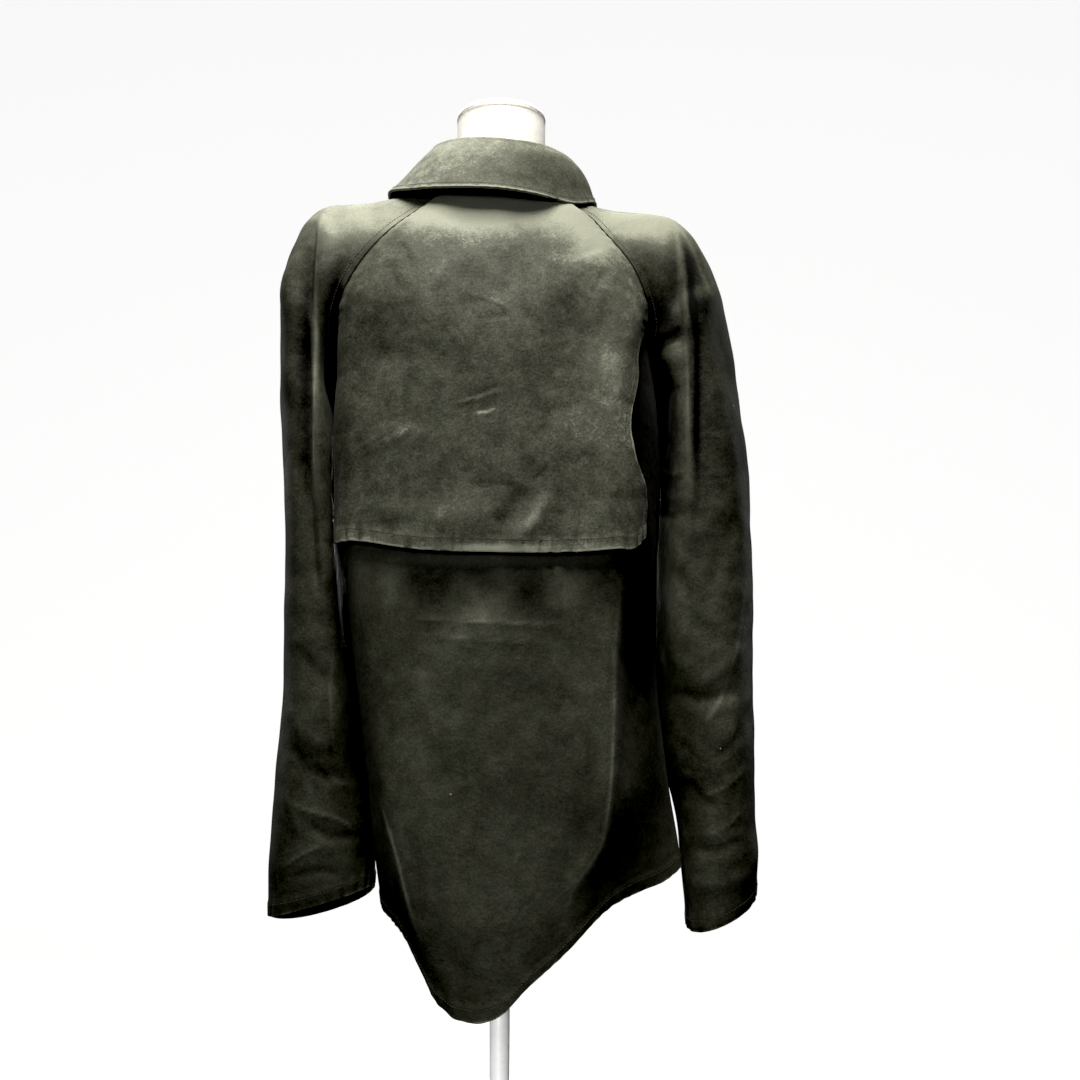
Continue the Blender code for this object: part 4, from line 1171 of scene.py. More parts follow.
@dataclass(frozen=True)
class Painted:
    """Powder-coated metal with a fine orange peel and rubbed edges."""

    name: str
    colour: Colour
    roughness: float = 0.42

    def material(self) -> Material:
        """The finish as a material."""
        shader = Shader(self.name)
        place = shader.place()
        peel = shader.noise(place, 520.0, 2.0)
        scuff = shader.noise(place, 30.0, 5.0, 0.7)
        dull = tuple(0.86 * part for part in self.colour)
        colour = shader.mix(scuff.ramp(0.45, 0.75), self.colour, dull)
        rough = scuff.ramp(0.35, 0.75, self.roughness - 0.06, self.roughness + 0.14)
        relief = shader.bump(peel * 0.00008)
        return shader.finish(Base_Color=colour, Roughness=rough, Normal=relief)


@dataclass(frozen=True)
class Horn:
    """Dark mottled button horn."""

    name: str = "button_horn"
    dark: Colour = (0.018, 0.011, 0.007)
    light: Colour = (0.110, 0.070, 0.038)

    def material(self) -> Material:
        """The finish as a material."""
        shader = Shader(self.name)
        place = shader.place()
        streak = shader.noise(place, 90.0, 4.0, 0.6, noise_type=RIDGED)
        fine = shader.noise(place, 600.0, 2.0)
        colour = shader.mix(streak.ramp(0.3, 1.1), self.dark, self.light)
        return shader.finish(Base_Color=colour, Roughness=0.30 + fine * 0.12)


# ---- meshes


class Side(Enum):
    """An edge of a cloth grid."""

    LEFT = "left"
    RIGHT = "right"
    TOP = "top"
    BOTTOM = "bottom"


@dataclass
class Shell:
    """A walled cloth piece on a grid of middle points.

    Attributes:
        name: The piece's name, which is its solid's with _cloth after it.
        grid: Middle points, rows from the neck down.
        away: A point on the wearer's side of the cloth for each row, or for all.
        numbers: What the finish reads at each point.
        thick: The wall at each point.
    """

    name: str
    grid: Grid
    away: Grid
    numbers: dict[str, Values] = field(default_factory=dict)
    thick: Values | None = None

    def __post_init__(self) -> None:
        """Work out the outward normals."""
        normal = normals_of(self.grid)
        facing = (normal * (self.grid - self.away)).sum(axis=2).mean()
        self.turned = bool(facing < 0)
        self.outward = -normal if self.turned else normal

    def beside(self, side: Side) -> Values:
        """Distance of each point from one edge, along the cloth."""
        axis = 1 if side in (Side.LEFT, Side.RIGHT) else 0
        run = run_lengths(self.grid, axis)
        if side in (Side.LEFT, Side.TOP):
            return run
        return run[:, -1:] - run if axis == 1 else run[-1:] - run

    def sides(self) -> Values:
        """Distance of each point from the nearer side edge."""
        return np.minimum(self.beside(Side.LEFT), self.beside(Side.RIGHT))

    def total(self, rows: Sequence[Crease | Mark | Patch]) -> Values:
        """What a table's rows add up to at each point."""
        places = SIGHT.seen(self.grid)
        return sum((row.read(places) for row in rows), np.zeros(self.grid.shape[:2]))

    def pressed(self, part: Part, room: Values) -> Values:
        """How far the placed folds move each point.

        Args:
            part: Whose folds it takes.
            room: 0 where a seam holds the cloth still, 1 where it is free.

        Returns:
            Metres outward for each point.
        """
        depth = self.total(CREASES.get(part, ())) * MILLIMETRE
        return depth * SIGHT.facing(self.grid, self.outward) * room

    def dressed(
        self, part: Part, shift: Values, hem: Values, seam: Values, wall: Values
    ) -> "Shell":
        """The shell in its last place, with all that its finish reads.

        Args:
            part: Whose patches and marks it takes: painted light and shade, and wax clouds.
            shift: Metres outward for each point.
            hem: Distance from a hem.
            seam: Distance from a seam.
            wall: The wall at each point.

        Returns:
            The new shell. Tops are lighter on every side: lost wax and dust, and painted top light.
        """
        # Painted light and shade from the tables, on the sides that face the camera
        facing = SIGHT.facing(self.grid, self.outward, 0.10)
        dust_and_top_light = DUST_AND_TOP_LIGHT * eased((self.outward[..., 2] - 0.10) / 0.6)
        cloud = self.total(PATCHES.get(part, ())) * facing + dust_and_top_light
        mark = self.total(MARKS.get(part, ())) * facing
        moved = self.grid + self.outward * shift[..., None]
        numbers = {"cloud": cloud, "mark": mark, "hem": hem, "seam": seam}
        return Shell(self.name, moved, self.away, numbers, wall)

    def line(
        self, side: Side, inward: float, lift: float, first: int = 0, last: int | None = None
    ) -> Grid:
        """A path that runs a set way in from an edge, on the outside of the wall.

        Args:
            side: The edge that the path follows.
            inward: Distance from that edge.
            lift: How far outside the wall's middle it runs.
            first: The first row or column.
            last: The row or column after the last.

        Returns:
            The path's points.
        """
        span = slice(first, last)
        raised = self.grid + self.outward * lift
        run = self.beside(side)
        if side in (Side.TOP, Side.BOTTOM):
            raised, run = raised.transpose(1, 0, 2), run.T
        if side in (Side.RIGHT, Side.BOTTOM):
            raised, run = raised[:, ::-1], run[:, ::-1]
        raised, run = raised[span], run[span]
        points = [
            [np.interp(inward, lengths, station[:, part]) for part in range(3)]
            for station, lengths in zip(raised, run)
        ]
        return np.array(points)

    def build(self, cloth: Material, inside: Material, node: str) -> Object:
        """Make the piece.

        Args:
            cloth: The outer finish.
            inside: The inner finish.
            node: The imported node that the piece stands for.

        Returns:
            The finished object, riding on the coat's one body.
        """
        rows, columns, _ = self.grid.shape
        first = np.arange(rows - 1)[:, None] * columns + np.arange(columns - 1)[None, :]
        first = first.reshape(-1)
        quads = np.stack([first, first + 1, first + columns + 1, first + columns], axis=1)
        quads = quads[:, ::-1] if self.turned else quads
        mesh = bpy.data.meshes.new(self.name)
        mesh.from_pydata(self.grid.reshape(-1, 3).tolist(), [], quads.tolist())
        flat = np.stack([run_lengths(self.grid, 1), -run_lengths(self.grid, 0)], axis=2)
        flat = flat.reshape(-1, 2)
        uv = mesh.uv_layers.new(name="cloth")
        loops = np.empty(len(mesh.loops), np.int32)
        mesh.loops.foreach_get("vertex_index", loops)
        uv.data.foreach_set("uv", flat[loops].astype(np.float32).reshape(-1))
        for name, values in self.numbers.items():
            stored = mesh.attributes.new(name, "FLOAT", "POINT")
            stored.data.foreach_set("value", values.astype(np.float32).reshape(-1))
        mesh.materials.append(cloth)
        mesh.materials.append(inside)
        piece = placed(self.name, mesh)
        self._weigh(piece)
        shape = bmesh.new()
        shape.from_mesh(mesh)
        bmesh.ops.remove_doubles(shape, verts=shape.verts, dist=MERGE)
        shape.to_mesh(mesh)
        shape.free()
        mesh.shade_smooth()
        wall = piece.modifiers.new("wall", "SOLIDIFY")
        wall.thickness = HEM_WALL
        wall.offset = 0.0
        wall.use_even_offset = False
        wall.vertex_group = "wall"
        wall.material_offset = 1
        wall.material_offset_rim = 0
        lip = piece.modifiers.new("lip", "BEVEL")
        lip.width = LIP
        lip.segments = 2
        lip.limit_method = "ANGLE"
        lip.angle_limit = LIP_ANGLE
        log.info("%s: %d quads", self.name, len(quads))
        return stand_for(piece, node)

    def _weigh(self, piece: Object) -> None:
        """Store the wall at each point as a share of the hem's."""
        group = piece.vertex_groups.new(name="wall")
        thick = np.full(self.grid.shape[:2], WALL) if self.thick is None else self.thick
        shares = np.round(np.clip(thick / HEM_WALL, 0, 1), 2).reshape(-1)
        for share in np.unique(shares):
            group.add(np.flatnonzero(shares == share).tolist(), float(share), "REPLACE")


def stand_for(piece: Object, *nodes: str) -> Object:
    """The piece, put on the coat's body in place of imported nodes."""
    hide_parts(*nodes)
    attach(piece, BODY)
    return piece


def plain_mesh(name: str, points: Any, faces: Any, finish: Material) -> Object:
    """An object with a new mesh and one material."""
    mesh = bpy.data.meshes.new(name)
    mesh.from_pydata(np.asarray(points).tolist(), [], faces)
    mesh.materials.append(finish)
    return placed(name, mesh)


def turned_profile(name: str, profile: Grid, sides: int, centre: Place, finish: Material) -> Object:
    """A closed solid of revolution.

    Args:
        name: The object's name.
        profile: Radius and height of each ring, from the bottom up.
        sides: Points round each ring.
        centre: The axis's place.
        finish: Its material.

    Returns:
        The object, shaded smooth.
    """
    angle = np.linspace(0, 2 * math.pi, sides, endpoint=False)
    cosine, sine = np.cos(angle), np.sin(angle)
    rings = [
        np.stack([centre[0] + r * cosine, centre[1] + r * sine, np.full(sides, z)], axis=1)
        for r, z in profile
    ]
    count = len(rings)
    faces = [
        (row * sides + step, row * sides + (step + 1) % sides,
         (row + 1) * sides + (step + 1) % sides, (row + 1) * sides + step)
        for row in range(count - 1)
        for step in range(sides)
    ]
    faces.append(tuple(reversed(range(sides))))
    faces.append(tuple(range((count - 1) * sides, count * sides)))
    made = plain_mesh(name, np.concatenate(rings), faces, finish)
    made.data.shade_smooth()
    made.data.set_sharp_from_angle(angle=SHARP_ANGLE)
    return made


# ---- geometry nodes


class NodeGroup:
    """A Geometry Nodes tree with named inputs."""

    def __init__(self, name: str, inputs: Sequence[tuple[str, str, Any]]) -> None:
        """Start a tree.

        Args:
            name: The tree's name.
            inputs: Name, socket type and standing value of each input after the geometry.
        """
        self.tree = bpy.data.node_groups.new(name, "GeometryNodeTree")
        face = self.tree.interface
        face.new_socket(name="Geometry", in_out="INPUT", socket_type="NodeSocketGeometry")
        self.keys = {}
        for label, kind, standing in inputs:
            socket = face.new_socket(name=label, in_out="INPUT", socket_type=kind)
            self.keys[label] = socket.identifier
            if standing is not None:
                socket.default_value = standing
        face.new_socket(name="Geometry", in_out="OUTPUT", socket_type="NodeSocketGeometry")
        self.start = self.tree.nodes.new("NodeGroupInput")
        self.end = self.tree.nodes.new("NodeGroupOutput")

    def add(self, kind: str, settings: Mapping[str, Any], given: Mapping[Any, Any]) -> Node:
        """Add a node with its settings, and the values or linked sockets of its inputs."""
        node = self.tree.nodes.new(kind)
        for name, value in settings.items():
            setattr(node, name, value)
        for name, value in given.items():
            if isinstance(value, NodeSocket):
                self.tree.links.new(value, node.inputs[name])
            else:
                node.inputs[name].default_value = value
        return node

    def lay(
        self, points: NodeSocket, shape: NodeSocket, rotation: NodeSocket, **more: NodeSocket
    ) -> None:
        """End the tree: a shape on each point, made real, smooth and with the finish.

        Args:
            points: Where the shapes go.
            shape: The geometry laid on each.
            rotation: How each is turned.
            more: Other inputs of the instances.
        """
        given = {"Points": points, "Instance": shape, "Rotation": rotation} | more
        laid = self.add("GeometryNodeInstanceOnPoints", {}, given)
        real = self.add("GeometryNodeRealizeInstances", {}, {"Geometry": laid.outputs[0]})
        soft = self.add("GeometryNodeSetShadeSmooth", {}, {0: real.outputs[0]})
        given = {0: soft.outputs[0], "Material": self.start.outputs["Finish"]}
        finish = self.add("GeometryNodeSetMaterial", {}, given)
        self.tree.links.new(finish.outputs[0], self.end.inputs[0])

    def run(self, name: str, base: Object, values: Mapping[str, Any]) -> Object:
        """Make a plain mesh of what the tree gives.

        Args:
            name: The new object's name.
            base: The object whose mesh goes in, which is then removed.
            values: The tree's inputs by name.

        Returns:
            The new object.
        """
        modifier = base.modifiers.new("tree", "NODES")
        modifier.node_group = self.tree
        for label, value in values.items():
            modifier[self.keys[label]] = value
        graph = bpy.context.evaluated_depsgraph_get()
        graph.update()
        mesh = bpy.data.meshes.new_from_object(base.evaluated_get(graph))
        mesh.name = name
        bpy.data.objects.remove(base, do_unlink=True)
        return placed(name, mesh)


class StitchLine(NodeGroup):
    """Lays one stitch after another along a path."""

    shortest = 0.84
    longest = 1.08

    def __init__(self) -> None:
        """Build the tree."""
        super().__init__(
            "stitch_line",
            (
                ("Pitch", "NodeSocketFloat", 0.0032),
                ("Length", "NodeSocketFloat", 0.0025),
                ("Thickness", "NodeSocketFloat", 0.0006),
                ("Seed", "NodeSocketInt", 3),
                ("Finish", "NodeSocketMaterial", None),
            ),
        )
        given = self.start.outputs
        curve = self.add("GeometryNodeMeshToCurve", {}, {0: given["Geometry"]})
        pitched = {0: curve.outputs[0], "Length": given["Pitch"]}
        even = self.add("GeometryNodeResampleCurve", {"mode": "LENGTH"}, pitched)
        spots = self.add("GeometryNodeCurveToPoints", {"mode": "EVALUATED"}, {0: even.outputs[0]})
        spread = {2: self.shortest, 3: self.longest, "Seed": given["Seed"]}
        uneven = self.add("FunctionNodeRandomValue", {"data_type": "FLOAT"}, spread)
        lengths = {0: given["Length"], 1: uneven.outputs[1]}
        long = self.add("ShaderNodeMath", {"operation": "MULTIPLY"}, lengths)
        thick = given["Thickness"]
        size = self.add("ShaderNodeCombineXYZ", {}, {0: thick, 1: thick, 2: long.outputs[0]})
        grain = self.add("GeometryNodeMeshUVSphere", {}, {"Segments": 6, "Rings": 4, "Radius": 0.5})
        turned = spots.outputs["Rotation"]
        self.lay(spots.outputs["Points"], grain.outputs[0], turned, Scale=size.outputs[0])


class ButtonRow(NodeGroup):
    """Sets one button on each point of a mesh, turned by the point's normal."""

    def __init__(self) -> None:
        """Build the tree."""
        super().__init__(
            "button_row",
            (
                ("Button", "NodeSocketObject", None),
                ("Spread", "NodeSocketFloat", 0.5),
                ("Seed", "NodeSocketInt", 5),
                ("Finish", "NodeSocketMaterial", None),
            ),
        )
        given = self.start.outputs
        spots = self.add("GeometryNodeMeshToPoints", {}, {0: given["Geometry"]})
        shape = self.add("GeometryNodeObjectInfo", {}, {"Object": given["Button"]})
        kind = {"data_type": "FLOAT_VECTOR"}
        way = self.add("GeometryNodeInputNamedAttribute", kind, {"Name": "way"})
        ways = {"Vector": way.outputs[0]}
        facing = self.add("FunctionNodeAlignRotationToVector", {"axis": "Z"}, ways)
        spread = {2: 0.0, 3: given["Spread"], "Seed": given["Seed"]}
        turn = self.add("FunctionNodeRandomValue", {"data_type": "FLOAT"}, spread)
        about = self.add("ShaderNodeCombineXYZ", {}, {2: turn.outputs[1]})
        turns = {0: facing.outputs[0], 1: about.outputs[0]}
        both = self.add("FunctionNodeRotateRotation", {"rotation_space": "LOCAL"}, turns)
        self.lay(spots.outputs[0], shape.outputs["Geometry"], both.outputs[0])


@dataclass
class Sewing:
    """Rows of stitches, gathered for each piece and made together."""

    finish: Material
    pitch: float = 0.0032
    length: float = 0.0026
    thickness: float = 0.0007
    tree: StitchLine = field(default_factory=StitchLine)

    def sew(self, name: str, paths: Sequence[Grid]) -> Object:
        """Make the stitches of several paths as one piece.

        Args:
            name: The new piece's name.
            paths: Points of each path.

        Returns:
            The stitches, riding on the coat's body.
        """
        points = np.concatenate(paths)
        edges = []
        begin = 0
        for path in paths:
            edges += [(begin + step, begin + step + 1) for step in range(len(path) - 1)]
            begin += len(path)
        mesh = bpy.data.meshes.new(name + "_path")
        mesh.from_pydata(points.tolist(), edges, [])
        base = placed(name + "_path", mesh)
        values = {
            "Pitch": self.pitch,
            "Length": self.length,
            "Thickness": self.thickness,
            "Seed": len(points),
            "Finish": self.finish,
        }
        made = self.tree.run(name, base, values)
        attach(made, BODY)
        log.info("%s: %d triangles or quads", name, len(made.data.polygons))
        return made


# ---- cloth pieces


@dataclass
class Finishes:
    """The coat's finishes."""

    body: Material
    sleeve: Material
    collar: Material
    inside: Material
    cape: Material

    @classmethod
    def make(cls) -> "Finishes":
        """Build every cloth finish."""
        # The lifts give lighter and darker copies of one wax: the sleeves' copy is painted darker
        # where they turn from the light, the cape's and the collar's painted lighter where light
        # falls on them
        kinds = (
            ("body", "", {"lift": -0.02, "mottle": 0.72}),
            ("cape", "_cape", {"lift": 0.05, "mottle": 1.12}),
            (
                "sleeve", "_sleeve",
                {"lift": -0.13, "mottle": 0.85, "crumple": 0.0010, "crumple_scale": 30.0},
            ),
            ("collar", "_collar", {"lift": 0.08, "shine": 0.56}),
            ("inside", "_inside", {"lift": -0.12, "shine": 0.62, "crumple": 0.0002}),
        )
        return cls(**{
            name: WaxedCotton("waxed_olive" + ending, **more).material()
            for name, ending, more in kinds
        })


def hem_wall(distance: Values, band: float = 0.012) -> Values:
    """The wall at a distance from a hem: turned under twice over the band, and single beyond."""
    return WALL + (HEM_WALL - WALL) * (1 - eased((distance - band) / 0.004))


def ripple(along: Values, distance: Values, seed: int, height: float = 0.0005) -> Values:
    """Puckers beside a stitched edge.

    Args:
        along: Length run along the edge.
        distance: Distance from the edge.
        seed: Where the pattern starts.
        height: Half the height of a pucker.

    Returns:
        Metres outward for each point.
    """
    phase = 3.1 * seed + 1.9 * np.sin(along * 37 + seed) + 1.6 * np.sin(along * 91 + 2 * seed)
    wave = np.sin(along * 2 * math.pi / 0.0125 + phase) * (0.55 + 0.45 * np.sin(along * 61 + seed))
    return height * wave * np.exp(-((np.maximum(distance - 0.009, 0) / 0.008) ** 2))


@dataclass
class BackPanel:
    """The back, from the neck seam to the dipped tail."""

    across: int = 150
    upper: int = 34
    lower: int = 206
    cut: Cut = Cut((0.500, 0.850), 0.345)
    slack: Slack = Slack(4, 0.0011, 0.16)
    hem: tuple[Edge, ...] = (
        Edge(0.000, 0.585), Edge(0.080, 0.579), Edge(0.150, 0.570), Edge(0.185, 0.556),
        Edge(0.212, 0.530), Edge(0.235, 0.510), Edge(0.290, 0.497), Edge(0.440, 0.487),
        Edge(0.520, 0.488), Edge(0.600, 0.497), Edge(0.660, 0.515), Edge(0.770, 0.550),
        Edge(0.830, 0.583), Edge(0.900, 0.599), Edge(0.950, 0.606), Edge(1.000, 0.619),
    )
    folds: tuple[Fold, ...] = (
        Fold(0.300, 0.62, 0.330, 1.05, 0.060, 0.003),
        Fold(0.690, 0.55, 0.660, 1.05, 0.060, 0.003),
    )

    def shell(self) -> Shell:
        """The piece with its folds and hem."""
        across = turning_shares(back_surface, self.across)
        z = heights(self.upper, self.lower, SEAM_TOP_Z, read_edges(self.hem, across))
        grid = back_surface(across[None, :], z)
        grid = inset(meet_neck(folded(grid, self.folds, across)), SEAM_INSET, SEAM_INSET)
        shell = Shell("back_cloth", grid, INSIDE_BACK)
        sides = shell.sides()
        hem = shell.beside(Side.BOTTOM)
        room = eased(sides / SEAM_HELD) * eased(shell.beside(Side.TOP) / NECK_HELD)
        shift = shell.pressed(Part.BACK, room * eased((1.02 - grid[..., 2]) / 0.06))
        shift += self.slack.at(grid) * room
        shift += ripple(run_lengths(grid, 1), hem, 2, 0.0007) * room
        seam = np.where(grid[..., 2] > UNDERARM_Z, sides, FAR)
        return shell.dressed(Part.BACK, shift, hem, seam, hem_wall(hem))


@dataclass
class Cape:
    """The cape, sewn in at the neck and the raglan seams, and free below them."""

    across: int = 150
    upper: int = 84
    lower: int = 76
    cut: Cut = Cut((0.370, 0.430), 0.125)
    slack: Slack = Slack(7, 0.0008, 0.11)
    ease: float = 0.0012
    rows: tuple[CapeRow, ...] = (
        CapeRow(1.320, 0.000, 1.000, 0.0000),
        CapeRow(1.210, 0.000, 1.000, 0.0000),
        CapeRow(1.180, 0.000, 1.000, 0.0004),
        CapeRow(1.155, 0.054, 0.915, 0.0008),
        CapeRow(1.130, 0.092, 0.838, 0.0012),
        CapeRow(1.100, 0.112, 0.817, 0.0018),
        CapeRow(1.045, 0.128, 0.781, 0.0030),
        CapeRow(1.010, 0.132, 0.790, 0.0036),
        CapeRow(0.980, 0.134, 0.816, 0.0042),
        CapeRow(0.945, 0.136, 0.820, 0.0050),
        CapeRow(0.900, 0.136, 0.818, 0.0058),
    )
    hem: tuple[Edge, ...] = (
        Edge(0.000, 0.944), Edge(0.030, 0.937), Edge(0.150, 0.930), Edge(0.320, 0.919),
        Edge(0.500, 0.914), Edge(0.700, 0.914), Edge(0.900, 0.919), Edge(0.960, 0.923),
        Edge(1.000, 0.938),
    )

    def shell(self) -> Shell:
        """The piece with its folds and hem."""
        share = turning_shares(back_surface, self.across)
        z = heights(self.upper, self.lower, SEAM_TOP_Z, read_edges(self.hem, share))
        table = np.array(self.rows)[::-1]
        left, right, stand_off = smooth(table[:, 0], table[:, 1:], z).transpose(2, 0, 1)
        left, right = np.clip(left, 0.0, 1.0), np.clip(right, 0.0, 1.0)
        grid = meet_neck(back_surface(left + (right - left) * share[None, :], z))
        inside = eased(np.minimum(share, 1 - share) / 0.08)
        base = Shell("cape_cloth", grid, INSIDE_BACK)
        lift = LAYER + np.maximum(stand_off, 0.0) + (self.ease + 0.0012) * inside[None, :]
        grid = inset(grid + base.outward * lift[..., None], SEAM_INSET, SEAM_INSET)
        shell = Shell("cape_cloth", grid, INSIDE_BACK)
        sides = shell.sides()
        bottom = shell.beside(Side.BOTTOM)
        free = eased((1.16 - grid[..., 2]) / 0.05)
        room = np.maximum(eased(sides / 0.014), free) * eased(shell.beside(Side.TOP) / NECK_HELD)
        shift = shell.pressed(Part.CAPE, room)
        shift += self.slack.at(grid) * room
        shift += ripple(run_lengths(grid, 1), bottom, 5, 0.0017)
        shift += ripple(run_lengths(grid, 0), sides, 3) * (1 - free)
        shift = np.maximum(shift, -0.6 * (lift - WALL) - 0.0004)
        hem = np.minimum(bottom, np.where((free > 0.5) & (sides < 0.006), sides, FAR))
        seam = np.where(free < 0.5, np.minimum(sides, 0.003), FAR)
        return shell.dressed(Part.CAPE, shift, hem, seam, hem_wall(bottom))


@dataclass
class Front:
    """One front, from its side seam to just past the middle."""

    name: str
    node: str
    first: float
    last: float
    lift: float
    across: int = 72
    rows_upper: int = 54
    rows_lower: int = 130
    neck_z: float = 1.266
    cut: Cut = Cut((0.310, 0.760), 0.160)
    hem: tuple[Edge, ...] = (
        Edge(0.00, 0.585), Edge(0.25, 0.583), Edge(0.50, 0.590), Edge(0.75, 0.604),
        Edge(1.00, 0.619),
    )
    folds: tuple[Fold, ...] = (
        Fold(0.18, 0.20, 0.34, 0.55, 0.05, 0.0020),
        Fold(0.86, 0.22, 0.70, 0.60, 0.05, 0.0022),
        Fold(0.30, 0.55, 0.24, 1.02, 0.06, -0.0026),
        Fold(0.72, 0.60, 0.78, 1.02, 0.06, -0.0024),
        Fold(0.20, 0.40, 0.40, 0.46, 0.04, 0.0012),
    )

    def shell(self) -> Shell:
        """The piece with its folds and hem."""
        across = np.linspace(self.first, self.last, self.across + 1)
        dip = eased(1 - np.abs(across - 0.5) / 0.5)
        top = SEAM_TOP_Z - (SEAM_TOP_Z - self.neck_z) * dip
        z = heights(self.rows_upper, self.rows_lower, top, read_edges(self.hem, across))
        grid = meet_neck(front_surface(across[None, :], z))
        nearness = eased((0.12 - np.abs(across - 0.5)) / 0.06)
        left_side = self.first == 0.0
        base = Shell(self.name, grid, INSIDE_FRONT)
        grid = grid + base.outward * (self.lift * nearness)[None, :, None]
        grid = inset(grid, SEAM_INSET, 0.0) if left_side else inset(grid, 0.0, SEAM_INSET)
        shell = Shell(self.name, grid, INSIDE_FRONT)
        side, edge = shell.beside(Side.LEFT), shell.beside(Side.RIGHT)
        if not left_side:
            side, edge = edge, side
        hem = shell.beside(Side.BOTTOM)
        room = eased(side / 0.02) * eased(edge / 0.02) * eased(shell.beside(Side.TOP) / 0.03)
        room = room * (1 - 0.8 * nearness[None, :])
        bent = folded(grid, self.folds, across) - grid
        shift = (bent * shell.outward).sum(axis=2) * room
        shift += Slack(11 if left_side else 13, 0.0012, 0.13).at(grid) * room
        shift += ripple(run_lengths(grid, 1), hem, 4, 0.0006) * room
        seam = np.where(grid[..., 2] > UNDERARM_Z, side, FAR)
        wall = np.where(nearness[None, :] > 0.01, WALL, hem_wall(hem))
        return shell.dressed(Part.HIDDEN, shift, np.minimum(hem, edge), seam, wall)


@dataclass
class Sleeve:
    """A raglan sleeve, from its open cuff over the shoulder to the neck seam."""

    name: str
    node: str
    edge: float
    part: Part
    rings: tuple[Ring, ...]
    arcs: tuple[Arc, ...]
    folds: tuple[Fold, ...]
    hidden_folds: tuple[Fold, ...]
    seed: int
    across: int = 152
    upper: int = 76
    tube: int = 176
    cut: Cut = Cut((0.520, 0.800), 0.330)

    @property
    def sign(self) -> int:
        """1 for the left sleeve and -1 for the right one."""
        return 1 if self.edge < 0.5 else -1

    def body_normal(self, surface: Callable[[Values, Values], Grid], z: float) -> np.ndarray:
        """The outward normal of the back or front surface at this sleeve's edge of it."""
        step = 0.02 if self.edge < 0.5 else -0.02
        here = surface(np.array([self.edge]), np.array([z]))[0]
        inner = surface(np.array([self.edge + step]), np.array([z]))[0]
        below = surface(np.array([self.edge]), np.array([z - 0.01]))[0]
        normal = np.cross(inner - here, below - here)
        normal /= np.linalg.norm(normal)
        return normal if np.dot(normal, here - np.array([0.0, 0.0, z])) > 0 else -normal

    def seam_start(
        self, surface: Callable[[Values, Values], Grid], arc: Arc, over: np.ndarray, way: float
    ) -> tuple[np.ndarray, np.ndarray]:
        """Where the sleeve leaves a raglan seam, and the direction in which it leaves."""
        seam = surface(np.array([self.edge]), np.array([arc.seam_z]))[0]
        normal = self.body_normal(surface, arc.seam_z)
        run = over - seam
        run = run - normal * np.dot(run, normal)
        run /= np.linalg.norm(run)
        lead = run * (1 - arc.turn) + np.array([0.0, way, 0.0]) * arc.turn
        lead /= np.linalg.norm(lead)
        lift = LAYER / 2 + (UNDERARM_LAYER - LAYER / 2) * eased(arc.turn)
        return seam + normal * lift + lead * SEAM_INSET * (1 - arc.turn), lead

    def arc_controls(self, arc: Arc) -> list[np.ndarray]:
        """The seven control points of an arc from the back raglan seam to the front one."""
        over = np.array([arc.over_x, arc.over_y, arc.over_z])
        back, back_lead = self.seam_start(back_surface, arc, over, 1.0)
        front, front_lead = self.seam_start(front_surface, arc, over, -1.0)
        front_seam = arc.seam_pull * arc.front_pull / arc.back_pull
        return [
            back,
            back + back_lead * arc.seam_pull,
            over + [0, arc.back_pull, 0],
            over,
            over - [0, arc.front_pull, 0],
            front + front_lead * front_seam,
            front,
        ]

    @staticmethod
    def ring_controls(ring: Ring) -> list[np.ndarray]:
        """The seven control points of a closed ring, which starts and ends at the inner seam."""
        ring = Ring(*(value / 1000 for value in ring))
        inner = np.array([ring.inner_x, ring.inner_y, ring.inner_z])
        over = np.array([ring.over_x, ring.over_y, ring.over_z])
        middle = (ring.inner_y + ring.over_y) / 2
        back = np.array([0, (ring.back - middle) / REACHED, -ring.back_drop / REACHED])
        front = np.array([0, (ring.front - middle) / REACHED, -ring.front_drop / REACHED])
        return [inner, inner + back, over + back, over, over + front, inner + front, inner]

    def grid(self) -> Grid:
        """Middle points of the sleeve, rows from the neck seam down to the cuff."""
        below = np.array([self.ring_controls(ring) for ring in self.rings])
        seam_z = np.linspace(UNDERARM_Z, SEAM_TOP_Z, self.upper + 1)
        columns = smooth([arc.seam_z for arc in self.arcs], np.array(self.arcs), seam_z)
        above = np.array([self.arc_controls(Arc(*row)) for row in columns])
        above[0, 0] = above[0, 6] = (above[0, 0] + above[0, 6]) / 2
        stations = np.concatenate([below, above])
        steps_up = np.linalg.norm(np.diff(stations[:, 3], axis=0), axis=1)
        knots = np.concatenate([[0], np.cumsum(steps_up)])
        arcs_kept = np.arange(len(below), len(stations), ARC_STEP)
        kept = np.concatenate([np.arange(len(below)), arcs_kept])
        tube = np.linspace(0, knots[len(below)], self.tube + 1)
        controls = smooth(knots[kept], stations[kept], tube)
        inner = smooth(knots[: len(below) + 1], stations[: len(below) + 1, 0], tube)
        controls[:, 0] = controls[:, 6] = inner
        controls = np.concatenate([controls, above[1:]])
        share = np.linspace(0, 1, self.across + 1)
        half = np.where(share < 0.5, 0, 3)
        t = np.where(share < 0.5, share * 2, share * 2 - 1)[None, :, None]
        picks = [controls[:, half + step] for step in range(4)]
        grid = picks[0] * (1 - t) ** 3 + picks[1] * 3 * t * (1 - t) ** 2
        grid = grid + picks[2] * 3 * t**2 * (1 - t) + picks[3] * t**3
        ends = grid[:, [0, -1]].copy()
        folds = (*self.folds, *self.hidden_folds)
        grid = folded(grid, [fold._replace(depth=self.sign * fold.depth) for fold in folds])
        grid[:, [0, -1]] = ends
        return meet_neck(grid[::-1])

